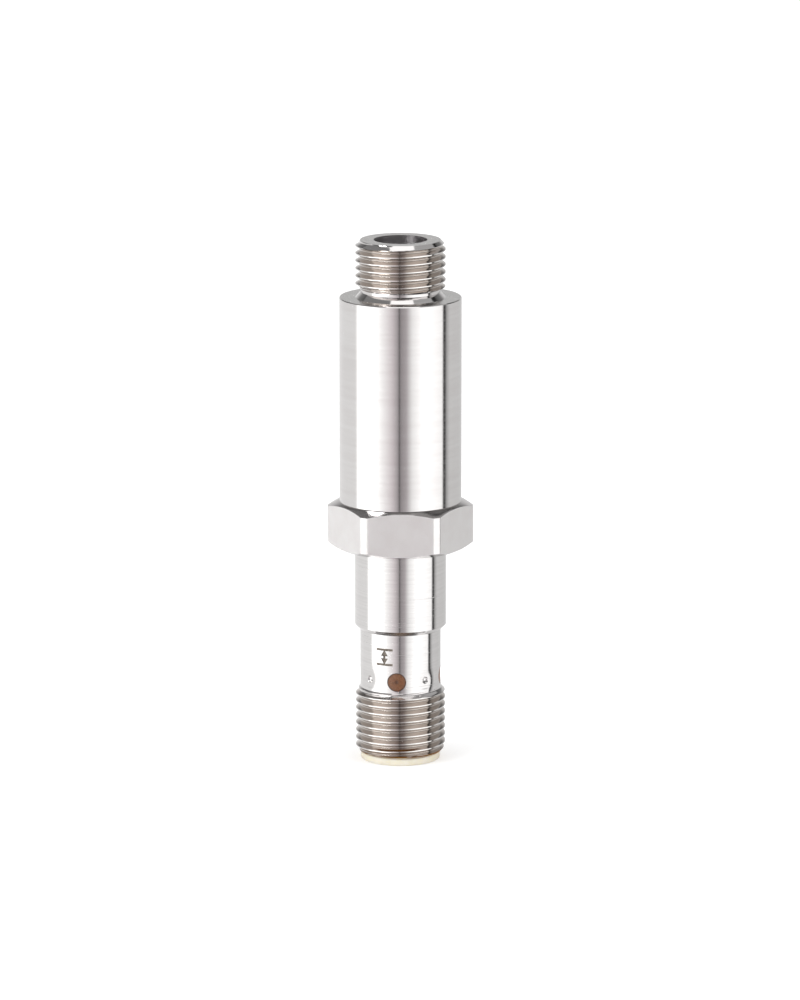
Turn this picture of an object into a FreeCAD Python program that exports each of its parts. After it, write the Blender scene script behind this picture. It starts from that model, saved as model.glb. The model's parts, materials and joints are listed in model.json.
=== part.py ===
import FreeCAD, Part
import os
import re

import Sketcher

# Inductive position sensor, standing on its plug end.
# The origin is the centre of the plug's rim on its lowest plane, and +Z runs up the turned body's axis.
# The soft-iron rod that the sensor measures goes into the bore at the top.
# Azimuths are counted from -Y, the front, towards +X.

document = FreeCAD.newDocument("position_sensor")

SIZES = {
    # Running fit of round pieces in their bores
    "fit_clearance": 0.02,
    # Plug end: contact carrier
    "rim_height": 0.9,
    "rim_inset": 0.72,
    "rim_edge": 0.12,
    "socket_mouth_chamfer": 0.25,
    "carrier_wall": 0.48,
    "carrier_base_thickness": 1.6,
    "key_width": 1.0,
    "key_depth": 0.55,
    "key_set_back": 1.2,
    # Plug end: sleeve with the plug thread and the window tube
    "plug_thread_diameter": 11.8,
    "plug_thread_length": 8.3,
    "plug_thread_lead": 0.7,
    "plug_relief_depth": 0.6,
    "plug_relief_height": 0.6,
    "window_tube_length": 7.8,
    "sleeve_spigot_length": 4.0,
    "sleeve_wall": 0.5,
    "sleeve_top_edge": 0.15,
    # Windows and the stakes punched between them
    "window_count": 4,
    "window_diameter": 2.5,
    "window_rise": 1.53,
    "window_turn": -5.5,
    "window_clearance": 0.03,
    "window_sink": 0.05,
    "ring_margin": 0.48,
    "ring_thickness": 1.18,
    "stake_ball_diameter": 1.8,
    "stake_depth": 0.2,
    # Contacts
    "contact_count": 4,
    "contact_circle_diameter": 5.0,
    "contact_diameter": 1.0,
    "contact_set_back": 1.6,
    "contact_tip_chamfer": 0.25,
    "contact_collar_diameter": 1.5,
    "contact_collar_height": 0.5,
    "contact_tail_diameter": 0.7,
    "contact_tail_reach": 0.6,
    # Neck and hexagon
    "neck_wall": 0.68,
    "neck_length": 10.9,
    "neck_chamfer": 0.6,
    "hex_across_flats": 17.0,
    "hex_height": 6.25,
    "hex_corner_trim": 0.275,
    "hex_face_inset": 0.55,
    "hex_chamfer_angle": 25.0,
    "housing_bore_diameter": 9.8,
    "housing_spigot_length": 3.85,
    "housing_spigot_wall": 1.08,
    "ledge_rise": 0.45,
    # Barrel and nose
    "barrel_diameter": 16.0,
    "barrel_length": 27.05,
    "barrel_wall": 1.0,
    "barrel_edge": 0.1,
    "barrel_lead": 0.25,
    "end_wall": 2.0,
    "nose_relief_length": 1.4,
    "nose_relief_depth": 0.7,
    "nose_relief_cone": 0.75,
    "nose_run_out": 0.3,
    "nose_thread_diameter": 11.8,
    "nose_thread_length": 6.15,
    "nose_thread_lead": 0.65,
    "bore_diameter": 7.0,
    # Pressure tube
    "flange_thickness": 1.2,
    "tube_wall": 0.5,
    "tube_end_thickness": 0.8,
    "tube_end_edge": 0.2,
    # Coil set and its magnetic shield
    "shield_gap": 0.25,
    "shield_wall": 0.45,
    "shield_washer_thickness": 0.6,
    "bobbin_wall": 0.5,
    "bobbin_flange": 0.6,
    "bobbin_end_flange": 1.2,
    "winding_margin": 0.3,
    "wire_slot_width": 0.8,
    "wire_slot_depth": 0.7,
    "spring_height": 0.8,
    "spring_thickness": 0.3,
    "spring_seat_overlap": 0.2,
    "coil_pin_diameter": 0.5,
    "coil_pin_depth": 0.8,
    "coil_pin_room": 0.2,
    # Seals: the round section of each ring and the room beside it in its groove
    "face_seal_section": 0.7,
    "housing_seal_section": 0.6,
    "housing_seal_rise": 1.6,
    "carrier_seal_section": 0.5,
    "carrier_seal_drop": 0.35,
    "seal_room": 0.2,
    # Boards
    "board_thickness": 0.8,
    "board_width": 9.0,
    "board_tab_width": 4.0,
    # Indicator lamps
    "lamp_width": 1.6,
    "lamp_depth": 0.7,
    "lamp_height": 1.2,
    "lamp_bevel": 0.2,
    # Parts on the circuit board
    "signal_chip_width": 4.0,
    "signal_chip_thickness": 0.9,
    "driver_chip_width": 3.0,
    "driver_chip_thickness": 0.8,
    "chip_draft": 8.0,
    "chip_offset": 3.6,
    "dimple_diameter": 0.5,
    "dimple_depth": 0.1,
    "dimple_inset": 0.8,
    "capacitor_length": 2.0,
    "capacitor_width": 1.25,
    "capacitor_thickness": 0.9,
    "resistor_length": 1.6,
    "resistor_width": 0.8,
    "resistor_thickness": 0.45,
    "end_cap_length": 0.35,
    "end_cap_step": 0.05,
    "small_part_spacing": 2.6,
}

SIZE_NAME = re.compile(r"\b(" + "|".join(SIZES) + r")\b")

sheet = document.addObject("Spreadsheet::Sheet", "sizes")
for row, (size_name, size_value) in enumerate(SIZES.items(), start=1):
    sheet.set(f"A{row}", size_name)
    sheet.set(f"B{row}", str(size_value))
    sheet.setAlias(f"B{row}", size_name)
document.recompute()

# Heights along the axis, from the bottom up
SLEEVE_BOTTOM = "rim_height"
PLUG_THREAD_TOP = f"({SLEEVE_BOTTOM} + plug_thread_length)"
WINDOW_TUBE_BOTTOM = f"({PLUG_THREAD_TOP} + plug_relief_height)"
NECK_BOTTOM = f"({WINDOW_TUBE_BOTTOM} + window_tube_length)"
SLEEVE_TOP = f"({NECK_BOTTOM} + sleeve_spigot_length)"
HEX_BOTTOM = f"({NECK_BOTTOM} + neck_length)"
HEX_TOP = f"({HEX_BOTTOM} + hex_height)"
LEDGE = f"({HEX_TOP} + ledge_rise)"
SPIGOT_TOP = f"({HEX_TOP} + housing_spigot_length)"
SHOULDER = f"({HEX_TOP} + barrel_length)"
NOSE_THREAD_BOTTOM = f"({SHOULDER} + nose_relief_length)"
NOSE_TOP = f"({NOSE_THREAD_BOTTOM} + nose_thread_length)"
END_WALL_INSIDE = f"({SHOULDER} - end_wall)"

WINDOW_HEIGHT = f"({WINDOW_TUBE_BOTTOM} + window_rise)"
CARRIER_TOP = f"({WINDOW_HEIGHT} - window_diameter / 2 - ring_margin)"
SOCKET_FLOOR = f"({CARRIER_TOP} - carrier_base_thickness)"
LIGHT_RING_TOP = f"({WINDOW_HEIGHT} + window_diameter / 2 + ring_margin)"
LED_BOARD_TOP = f"({LIGHT_RING_TOP} + board_thickness)"
COIL_BOARD_TOP = f"({LEDGE} + board_thickness)"

# The coil set fills the barrel between the pressure tube's flange and the disc spring
FLANGE_BOTTOM = f"({END_WALL_INSIDE} - flange_thickness)"
BOBBIN_TOP = f"({FLANGE_BOTTOM} - shield_washer_thickness)"
REAR_WASHER_BOTTOM = f"({SPIGOT_TOP} + spring_height)"
BOBBIN_BOTTOM = f"({REAR_WASHER_BOTTOM} + shield_washer_thickness)"
CHAMBER_LENGTH = (
    f"(({BOBBIN_TOP} - {BOBBIN_BOTTOM} - bobbin_end_flange - 3 * bobbin_flange) / 3)"
)
CHAMBER_PITCH = f"({CHAMBER_LENGTH} + bobbin_flange)"
REAR_CHAMBER_BOTTOM = f"({BOBBIN_BOTTOM} + bobbin_end_flange)"

# Radii, from the outside in
PLUG_THREAD_RADIUS = "(plug_thread_diameter / 2)"
WINDOW_TUBE_RADIUS = f"({PLUG_THREAD_RADIUS} - plug_relief_depth)"
SLEEVE_BORE_RADIUS = f"({WINDOW_TUBE_RADIUS} - sleeve_wall)"
CARRIER_RADIUS = f"({SLEEVE_BORE_RADIUS} - fit_clearance)"
SOCKET_RADIUS = f"({CARRIER_RADIUS} - carrier_wall)"
RIM_RADIUS = f"({PLUG_THREAD_RADIUS} - rim_inset)"
LIGHT_RING_RADIUS = CARRIER_RADIUS
LIGHT_RING_BORE_RADIUS = f"({LIGHT_RING_RADIUS} - ring_thickness)"
NECK_BORE_RADIUS = f"({WINDOW_TUBE_RADIUS} + fit_clearance)"
NECK_RADIUS = f"({NECK_BORE_RADIUS} + neck_wall)"
HOUSING_BORE_RADIUS = "(housing_bore_diameter / 2)"
BARREL_RADIUS = "(barrel_diameter / 2)"
BARREL_BORE_RADIUS = f"({BARREL_RADIUS} - barrel_wall)"
SPIGOT_RADIUS = f"({BARREL_BORE_RADIUS} - fit_clearance)"
SPIGOT_BORE_RADIUS = f"({SPIGOT_RADIUS} - housing_spigot_wall)"
SHIELD_RADIUS = f"({BARREL_BORE_RADIUS} - shield_gap)"
SHIELD_BORE_RADIUS = f"({SHIELD_RADIUS} - shield_wall)"
BOBBIN_RADIUS = f"({SHIELD_BORE_RADIUS} - fit_clearance)"
BORE_RADIUS = "(bore_diameter / 2)"
TUBE_RADIUS = f"({BORE_RADIUS} + tube_wall)"
COIL_BORE_RADIUS = f"({TUBE_RADIUS} + fit_clearance)"
BOBBIN_CORE_RADIUS = f"({COIL_BORE_RADIUS} + bobbin_wall)"
COIL_PIN_CIRCLE_RADIUS = f"(({COIL_BORE_RADIUS} + {BOBBIN_RADIUS}) / 2)"
CONTACT_CIRCLE_RADIUS = "(contact_circle_diameter / 2)"

# Azimuths
STAKE_TURN = "(window_turn + 180 / window_count)"
CONTACT_TURN = "(window_turn + 180 / contact_count)"
COIL_PIN_TURN = "45"


def linked(formula):
    """Return the formula with each size's name pointed at the sheet."""
    return SIZE_NAME.sub(r"sizes.\1", formula)


def value(formula):
    """Return what the formula comes to with the sheet's present sizes."""
    return float(sheet.evalExpression(linked(formula)))


def bind(target, place, formula):
    target.setExpression(place, linked(formula))


def origin_feature(body, role):
    return next(part for part in body.Origin.OriginFeatures if part.Role == role)


def new_body(name):
    body = document.addObject("PartDesign::Body", name)
    body.Label = name
    return body


def attach(feature, body, plane, away="0", turn="0"):
    """Lay a feature on a plane of its body, moved along the plane's normal and turned about Z.

    The XY plane faces up. The XZ plane faces the front, and turn swings it round the axis.
    """
    feature.AttachmentSupport = [(origin_feature(body, plane), "")]
    feature.MapMode = "FlatFace"
    if plane == "XY_Plane":
        bind(feature, "AttachmentOffset.Base.z", away)
        return
    feature.AttachmentOffset = FreeCAD.Placement(
        FreeCAD.Vector(), FreeCAD.Rotation(FreeCAD.Vector(0, 1, 0), value(turn))
    )
    bind(feature, "AttachmentOffset.Rotation.Angle", turn)
    bind(feature, "AttachmentOffset.Base.x", f"{away} * sin({turn})")
    bind(feature, "AttachmentOffset.Base.z", f"{away} * cos({turn})")


def new_sketch(body, plane, name, away="0", turn="0"):
    sketch = body.newObject("Sketcher::SketchObject", name)
    attach(sketch, body, plane, away, turn)
    return sketch


def bind_point(sketch, line, end, across, along):
    """Tie one point of a sketch to its two coordinates, or to an axis where one is zero."""
    for kind, axis, formula in (("DistanceX", -2, across), ("DistanceY", -1, along)):
        if formula == "0":
            sketch.addConstraint(Sketcher.Constraint("PointOnObject", line, end, axis))
        else:
            index = sketch.addConstraint(Sketcher.Constraint(kind, line, end, value(formula)))
            bind(sketch, f"Constraints[{index}]", formula)


def draw_outline(sketch, corners):
    """Draw a closed outline of straight lines through corners given as pairs of formulas."""
    places = [FreeCAD.Vector(value(across), value(along), 0) for across, along in corners]
    first = sketch.GeometryCount
    for start, end in zip(places, places[1:] + places[:1]):
        sketch.addGeometry(Part.LineSegment(start, end))
    for index, (across, along) in enumerate(corners):
        following = first + (index + 1) % len(corners)
        sketch.addConstraint(Sketcher.Constraint("Coincident", first + index, 2, following, 1))
    for index, (across, along) in enumerate(corners):
        bind_point(sketch, first + index, 1, across, along)


def draw_box(sketch, left, right, low, high):
    draw_outline(sketch, [(left, low), (right, low), (right, high), (left, high)])


def draw_circle(sketch, radius, across="0", along="0"):
    centre = FreeCAD.Vector(value(across), value(along), 0)
    circle = Part.Circle(centre, FreeCAD.Vector(0, 0, 1), value(radius))
    line = sketch.addGeometry(circle)
    index = sketch.addConstraint(Sketcher.Constraint("Radius", line, value(radius)))
    bind(sketch, f"Constraints[{index}]", radius)
    bind_point(sketch, line, 3, across, along)


def turned(body, kind, name, corners):
    """Spin an outline of (radius, height) corners round the axis: a Revolution adds, a Groove cuts."""
    sketch = new_sketch(body, "XZ_Plane", f"{name}_outline")
    draw_outline(sketch, corners)
    feature = body.newObject(f"PartDesign::{kind}", name)
    feature.Profile = sketch
    feature.ReferenceAxis = (sketch, ["V_Axis"])
    feature.Angle = 360
    return feature


def turned_body(name, corners):
    body = new_body(name)
    turned(body, "Revolution", f"{name}_turning", corners)
    return body


def pad(body, sketch, name, depth, draft=None):
    feature = body.newObject("PartDesign::Pad", name)
    feature.Profile = sketch
    bind(feature, "Length", depth)
    if draft:
        bind(feature, "TaperAngle", draft)
    return feature


def cut(body, sketch, name, depth):
    """Cut from a sketch along its normal, which is up on the XY plane and outwards on the XZ plane."""
    feature = body.newObject("PartDesign::Pocket", name)
    feature.Profile = sketch
    feature.Reversed = True
    bind(feature, "Length", depth)
    return feature


def repeat_round(body, feature, name, count):
    pattern = body.newObject("PartDesign::PolarPattern", name)
    pattern.Originals = [feature]
    pattern.Axis = (origin_feature(body, "Z_Axis"), [""])
    pattern.Angle = 360
    bind(pattern, "Occurrences", count)
    body.Tip = pattern
    return pattern


def drill_ring(body, name, radius, circle_radius, turn, bottom, depth, count):
    """Drill a ring of equal holes upwards from a height."""
    sketch = new_sketch(body, "XY_Plane", f"{name}_place", away=bottom)
    across = f"{circle_radius} * sin({turn})"
    along = f"0 - {circle_radius} * cos({turn})"
    draw_circle(sketch, radius, across, along)
    hole = cut(body, sketch, name, depth)
    repeat_round(body, hole, f"{name}_ring", count)


def stand_on_circle(body, circle_radius, turn):
    """Move a body that is modelled on the axis out to its place on a circle."""
    bind(body, "Placement.Base.x", f"{circle_radius} * sin({turn})")
    bind(body, "Placement.Base.y", f"0 - {circle_radius} * cos({turn})")


def ring_seal(name, ring_radius, section, height):
    ring = document.addObject("Part::Torus", name)
    ring.Label = name
    bind(ring, "Radius1", ring_radius)
    bind(ring, "Radius2", f"{section} / 2")
    bind(ring, "Placement.Base.z", height)
    return ring


def make_front_housing():
    """Bored and threaded nose, thread relief and barrel, turned from one bar."""
    nose = "(nose_thread_diameter / 2)"
    relief = f"({nose} - nose_relief_depth)"
    return turned_body("front_housing", [
        (BORE_RADIUS, NOSE_TOP),
        (f"{nose} - nose_thread_lead", NOSE_TOP),
        (nose, f"{NOSE_TOP} - nose_thread_lead"),
        (nose, NOSE_THREAD_BOTTOM),
        (relief, f"{NOSE_THREAD_BOTTOM} - nose_run_out"),
        (relief, f"{SHOULDER} + nose_relief_cone"),
        (nose, SHOULDER),
        (f"{BARREL_RADIUS} - barrel_edge", SHOULDER),
        (BARREL_RADIUS, f"{SHOULDER} - barrel_edge"),
        (BARREL_RADIUS, f"{HEX_TOP} + barrel_edge"),
        (f"{BARREL_RADIUS} - barrel_edge", HEX_TOP),
        (f"{BARREL_BORE_RADIUS} + barrel_lead", HEX_TOP),
        (BARREL_BORE_RADIUS, f"{HEX_TOP} + 2 * barrel_lead"),
        (BARREL_BORE_RADIUS, END_WALL_INSIDE),
        (BORE_RADIUS, END_WALL_INSIDE),
    ])


def face_seal_radius():
    """The face seal lies halfway between the bore and the flange's rim."""
    return f"(({BORE_RADIUS} + {SPIGOT_RADIUS}) / 2)"


def make_pressure_tube():
    """Closed tube that carries the bore on through the coils, with a flange against the nose."""
    groove_half_width = "(face_seal_section / 2 + seal_room / 2)"
    groove_outside = f"{face_seal_radius()} + {groove_half_width}"
    groove_inside = f"{face_seal_radius()} - {groove_half_width}"
    groove_floor = f"{END_WALL_INSIDE} - face_seal_section"
    return turned_body("pressure_tube", [
        ("0", BOBBIN_BOTTOM),
        (f"{TUBE_RADIUS} - tube_end_edge", BOBBIN_BOTTOM),
        (TUBE_RADIUS, f"{BOBBIN_BOTTOM} + tube_end_edge"),
        (TUBE_RADIUS, FLANGE_BOTTOM),
        (SPIGOT_RADIUS, FLANGE_BOTTOM),
        (SPIGOT_RADIUS, END_WALL_INSIDE),
        (groove_outside, END_WALL_INSIDE),
        (groove_outside, groove_floor),
        (groove_inside, groove_floor),
        (groove_inside, END_WALL_INSIDE),
        (BORE_RADIUS, END_WALL_INSIDE),
        (BORE_RADIUS, f"{BOBBIN_BOTTOM} + tube_end_thickness"),
        ("0", f"{BOBBIN_BOTTOM} + tube_end_thickness"),
    ])


def make_coil_bobbin():
    """Moulded spool with three winding chambers, wire slots in its flanges and seats for four pins."""
    body = new_body("coil_bobbin")
    turned(body, "Revolution", "bobbin_blank", [
        (COIL_BORE_RADIUS, BOBBIN_BOTTOM),
        (BOBBIN_RADIUS, BOBBIN_BOTTOM),
        (BOBBIN_RADIUS, BOBBIN_TOP),
        (COIL_BORE_RADIUS, BOBBIN_TOP),
    ])
    outside = f"{BOBBIN_RADIUS} + bobbin_flange"
    chamber_top = f"{REAR_CHAMBER_BOTTOM} + {CHAMBER_LENGTH}"
    chamber = turned(body, "Groove", "winding_chamber", [
        (BOBBIN_CORE_RADIUS, REAR_CHAMBER_BOTTOM),
        (outside, REAR_CHAMBER_BOTTOM),
        (outside, chamber_top),
        (BOBBIN_CORE_RADIUS, chamber_top),
    ])
    chambers = body.newObject("PartDesign::LinearPattern", "winding_chambers")
    chambers.Originals = [chamber]
    chambers.Direction = (origin_feature(body, "Z_Axis"), [""])
    bind(chambers, "Length", f"2 * {CHAMBER_PITCH}")
    chambers.Occurrences = 3
    body.Tip = chambers
    slot = new_sketch(body, "XY_Plane", "wire_slot_place", away=BOBBIN_BOTTOM)
    slot_floor = f"wire_slot_depth - {BOBBIN_RADIUS}"
    draw_box(slot, "0 - wire_slot_width / 2", "wire_slot_width / 2", f"0 - {outside}", slot_floor)
    cut(body, slot, "wire_slot", f"{BOBBIN_TOP} - {BOBBIN_BOTTOM}")
    drill_ring(body, "pin_seat", "coil_pin_diameter / 2 + fit_clearance", COIL_PIN_CIRCLE_RADIUS,
               COIL_PIN_TURN, BOBBIN_BOTTOM, "coil_pin_depth", "4")
    return body


def make_winding(name, chamber):
    """Copper winding that fills one chamber of the spool, counted from the rear."""
    bottom = f"({REAR_CHAMBER_BOTTOM} + {chamber} * {CHAMBER_PITCH})"
    inside = f"{BOBBIN_CORE_RADIUS} + fit_clearance"
    outside = f"{BOBBIN_RADIUS} - winding_margin"
    return turned_body(name, [
        (inside, bottom),
        (outside, bottom),
        (outside, f"{bottom} + {CHAMBER_LENGTH}"),
        (inside, f"{bottom} + {CHAMBER_LENGTH}"),
    ])


def make_shield_sleeve():
    return turned_body("shield_sleeve", [
        (SHIELD_BORE_RADIUS, REAR_WASHER_BOTTOM),
        (SHIELD_RADIUS, REAR_WASHER_BOTTOM),
        (SHIELD_RADIUS, FLANGE_BOTTOM),
        (SHIELD_BORE_RADIUS, FLANGE_BOTTOM),
    ])


def make_front_shield_washer():
    """Soft-iron washer between the flange and the spool, round the tube."""
    return turned_body("shield_washer_front", [
        (COIL_BORE_RADIUS, BOBBIN_TOP),
        (BOBBIN_RADIUS, BOBBIN_TOP),
        (BOBBIN_RADIUS, FLANGE_BOTTOM),
        (COIL_BORE_RADIUS, FLANGE_BOTTOM),
    ])


def make_rear_shield_washer():
    """Soft-iron washer under the spool and the closed tube end, with room for the coil pins."""
    body = turned_body("shield_washer_rear", [
        (f"{BORE_RADIUS} - tube_wall", REAR_WASHER_BOTTOM),
        (BOBBIN_RADIUS, REAR_WASHER_BOTTOM),
        (BOBBIN_RADIUS, BOBBIN_BOTTOM),
        (f"{BORE_RADIUS} - tube_wall", BOBBIN_BOTTOM),
    ])
    drill_ring(body, "pin_passage", "coil_pin_diameter / 2 + coil_pin_room", COIL_PIN_CIRCLE_RADIUS,
               COIL_PIN_TURN, REAR_WASHER_BOTTOM, "shield_washer_thickness", "4")
    return body


def make_disc_spring():
    """Shallow spring cone: its high inner edge lifts the rear washer, its low outer edge is seated."""
    inside = f"{SPIGOT_BORE_RADIUS} - spring_seat_overlap"
    outside = f"{SPIGOT_RADIUS} - spring_seat_overlap"
    return turned_body("disc_spring", [
        (inside, f"{REAR_WASHER_BOTTOM} - spring_thickness"),
        (outside, SPIGOT_TOP),
        (outside, f"{SPIGOT_TOP} + spring_thickness"),
        (inside, REAR_WASHER_BOTTOM),
    ])


def make_coil_pin(number):
    """Wire pin from the spool's rear flange to the coil board."""
    body = turned_body(f"coil_pin_{number + 1}", [
        ("0", LEDGE),
        ("coil_pin_diameter / 2", LEDGE),
        ("coil_pin_diameter / 2", f"{BOBBIN_BOTTOM} + coil_pin_depth"),
        ("0", f"{BOBBIN_BOTTOM} + coil_pin_depth"),
    ])
    stand_on_circle(body, COIL_PIN_CIRCLE_RADIUS, f"({COIL_PIN_TURN} + 90 * {number})")
    return body


def cut_tab_slot(body, bottom):
    """Slot in a round board that takes a tab of the upright circuit board."""
    slot = new_sketch(body, "XY_Plane", "tab_slot_place", away=bottom)
    half_width = "board_tab_width / 2 + fit_clearance"
    half_depth = "board_thickness / 2 + fit_clearance"
    draw_box(slot, f"0 - ({half_width})", half_width, f"0 - ({half_depth})", half_depth)
    cut(body, slot, "tab_slot", "board_thickness")


def make_coil_board():
    """Round board on the ledge of the rear housing, where the coil pins end."""
    body = turned_body("coil_board", [
        ("0", LEDGE),
        (f"{SPIGOT_BORE_RADIUS} - fit_clearance", LEDGE),
        (f"{SPIGOT_BORE_RADIUS} - fit_clearance", COIL_BOARD_TOP),
        ("0", COIL_BOARD_TOP),
    ])
    cut_tab_slot(body, LEDGE)
    drill_ring(body, "pin_hole", "coil_pin_diameter / 2 + fit_clearance", COIL_PIN_CIRCLE_RADIUS,
               COIL_PIN_TURN, LEDGE, "board_thickness", "4")
    return body


def make_rear_housing():
    """Hexagon with turned corners, neck below it and a sealed spigot above it in the barrel."""
    body = new_body("rear_housing")
    hexagon = new_sketch(body, "XY_Plane", "hexagon_outline", away=HEX_BOTTOM)
    corner = "(hex_across_flats / sqrt(3))"
    flat = "(hex_across_flats / 2)"
    draw_outline(hexagon, [
        (corner, "0"),
        (f"{corner} / 2", flat),
        (f"0 - {corner} / 2", flat),
        (f"0 - {corner}", "0"),
        (f"0 - {corner} / 2", f"0 - {flat}"),
        (f"{corner} / 2", f"0 - {flat}"),
    ])
    pad(body, hexagon, "hexagon", "hex_height")
    groove_floor = f"{BARREL_BORE_RADIUS} - housing_seal_section"
    groove_bottom = f"({HEX_TOP} + housing_seal_rise - seal_room / 2)"
    groove_top = f"({groove_bottom} + housing_seal_section + seal_room)"
    turned(body, "Revolution", "neck_and_spigot", [
        ("0", NECK_BOTTOM),
        (f"{NECK_RADIUS} - neck_chamfer", NECK_BOTTOM),
        (NECK_RADIUS, f"{NECK_BOTTOM} + neck_chamfer"),
        (NECK_RADIUS, HEX_TOP),
        (SPIGOT_RADIUS, HEX_TOP),
        (SPIGOT_RADIUS, groove_bottom),
        (groove_floor, groove_bottom),
        (groove_floor, groove_top),
        (SPIGOT_RADIUS, groove_top),
        (SPIGOT_RADIUS, SPIGOT_TOP),
        ("0", SPIGOT_TOP),
    ])
    trimmed = f"({corner} - hex_corner_trim)"
    face = f"({flat} - hex_face_inset)"
    slope = f"({trimmed} - {face}) * tan(hex_chamfer_angle)"
    turned(body, "Groove", "corner_chamfers", [
        (face, HEX_BOTTOM),
        (trimmed, f"{HEX_BOTTOM} + {slope}"),
        (trimmed, f"{HEX_TOP} - {slope}"),
        (face, HEX_TOP),
        ("hex_across_flats", HEX_TOP),
        ("hex_across_flats", HEX_BOTTOM),
    ])
    turned(body, "Groove", "bores", [
        ("0", NECK_BOTTOM),
        (NECK_BORE_RADIUS, NECK_BOTTOM),
        (NECK_BORE_RADIUS, SLEEVE_TOP),
        (HOUSING_BORE_RADIUS, SLEEVE_TOP),
        (HOUSING_BORE_RADIUS, LEDGE),
        (SPIGOT_BORE_RADIUS, LEDGE),
        (SPIGOT_BORE_RADIUS, SPIGOT_TOP),
        ("0", SPIGOT_TOP),
    ])
    return body


def make_circuit_board():
    """Upright board with a tab in the indicator board below and one in the coil board above."""
    body = new_body("circuit_board")
    outline = new_sketch(body, "XZ_Plane", "board_outline", away="0 - board_thickness / 2")
    tab = "board_tab_width / 2"
    edge = "board_width / 2"
    draw_outline(outline, [
        (f"0 - {tab}", LIGHT_RING_TOP),
        (tab, LIGHT_RING_TOP),
        (tab, LED_BOARD_TOP),
        (edge, LED_BOARD_TOP),
        (edge, LEDGE),
        (tab, LEDGE),
        (tab, COIL_BOARD_TOP),
        (f"0 - {tab}", COIL_BOARD_TOP),
        (f"0 - {tab}", LEDGE),
        (f"0 - {edge}", LEDGE),
        (f"0 - {edge}", LED_BOARD_TOP),
        (f"0 - {tab}", LED_BOARD_TOP),
    ])
    pad(body, outline, "board_blank", "board_thickness")
    return body


def set_on_board(body, across, up, back=False):
    """Seat a small part, modelled on the XZ plane, against the circuit board's front or back."""
    middle = f"(({LED_BOARD_TOP} + {LEDGE}) / 2)"
    if back:
        body.Placement = FreeCAD.Placement(
            FreeCAD.Vector(), FreeCAD.Rotation(FreeCAD.Vector(0, 0, 1), 180)
        )
    bind(body, "Placement.Base.x", across)
    bind(body, "Placement.Base.y", "board_thickness / 2" if back else "0 - board_thickness / 2")
    bind(body, "Placement.Base.z", f"{middle} + {up}")


def make_chip(name, width, thickness, up):
    """Square moulded chip with drafted sides and a round mark sunk near its first lead."""
    body = new_body(name)
    half = f"{width} / 2"
    outline = new_sketch(body, "XZ_Plane", "chip_outline")
    draw_box(outline, f"0 - {half}", half, f"0 - {half}", half)
    pad(body, outline, "chip_block", thickness, draft="0 - chip_draft")
    mark = new_sketch(body, "XZ_Plane", "mark_place", away=f"({thickness} - dimple_depth)")
    inset = f"({half} - dimple_inset)"
    draw_circle(mark, "dimple_diameter / 2", f"0 - {inset}", inset)
    cut(body, mark, "mark", "dimple_depth")
    set_on_board(body, "0", up)
    return body


def make_small_part(name, kind, across, back):
    """Chip capacitor or resistor: a ceramic block a little lower between its two end caps."""
    body = new_body(name)
    half_length = f"{kind}_length / 2"
    half_width = f"{kind}_width / 2"
    outline = new_sketch(body, "XZ_Plane", "block_outline")
    draw_box(outline, f"0 - {half_width}", half_width, f"0 - {half_length}", half_length)
    pad(body, outline, "block", f"{kind}_thickness")
    middle = new_sketch(body, "XZ_Plane", "middle_outline", away=f"({kind}_thickness - end_cap_step)")
    reach = f"({half_length} - end_cap_length)"
    draw_box(middle, f"0 - {half_width}", half_width, f"0 - {reach}", reach)
    cut(body, middle, "middle", "end_cap_step")
    set_on_board(body, across, "0", back)
    return body


def make_led_board():
    """Round board on the light ring, with the contact tails through it."""
    body = turned_body("led_board", [
        ("0", LIGHT_RING_TOP),
        (CARRIER_RADIUS, LIGHT_RING_TOP),
        (CARRIER_RADIUS, LED_BOARD_TOP),
        ("0", LED_BOARD_TOP),
    ])
    cut_tab_slot(body, LIGHT_RING_TOP)
    drill_ring(body, "tail_hole", "contact_tail_diameter / 2 + fit_clearance", CONTACT_CIRCLE_RADIUS,
               CONTACT_TURN, LIGHT_RING_TOP, "board_thickness", "contact_count")
    return body


def make_lamp(number):
    """Side-shining lamp under the indicator board, close behind one window."""
    body = new_body(f"led_{number + 1}")
    half = "lamp_width / 2"
    bore = LIGHT_RING_BORE_RADIUS
    front = f"(sqrt({bore} * {bore} - {half} * {half}) - fit_clearance)"
    outline = new_sketch(body, "XY_Plane", "lamp_outline", away=f"{LIGHT_RING_TOP} - lamp_height")
    draw_outline(outline, [
        (f"0 - {half}", f"lamp_depth - {front}"),
        (f"0 - {half}", f"lamp_bevel - {front}"),
        (f"lamp_bevel - {half}", f"0 - {front}"),
        (f"{half} - lamp_bevel", f"0 - {front}"),
        (half, f"lamp_bevel - {front}"),
        (half, f"lamp_depth - {front}"),
    ])
    pad(body, outline, "lamp_block", "lamp_height")
    turn = f"window_turn + 360 / window_count * {number}"
    body.Placement = FreeCAD.Placement(
        FreeCAD.Vector(), FreeCAD.Rotation(FreeCAD.Vector(0, 0, 1), value(turn))
    )
    bind(body, "Placement.Rotation.Angle", turn)
    return body


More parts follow.
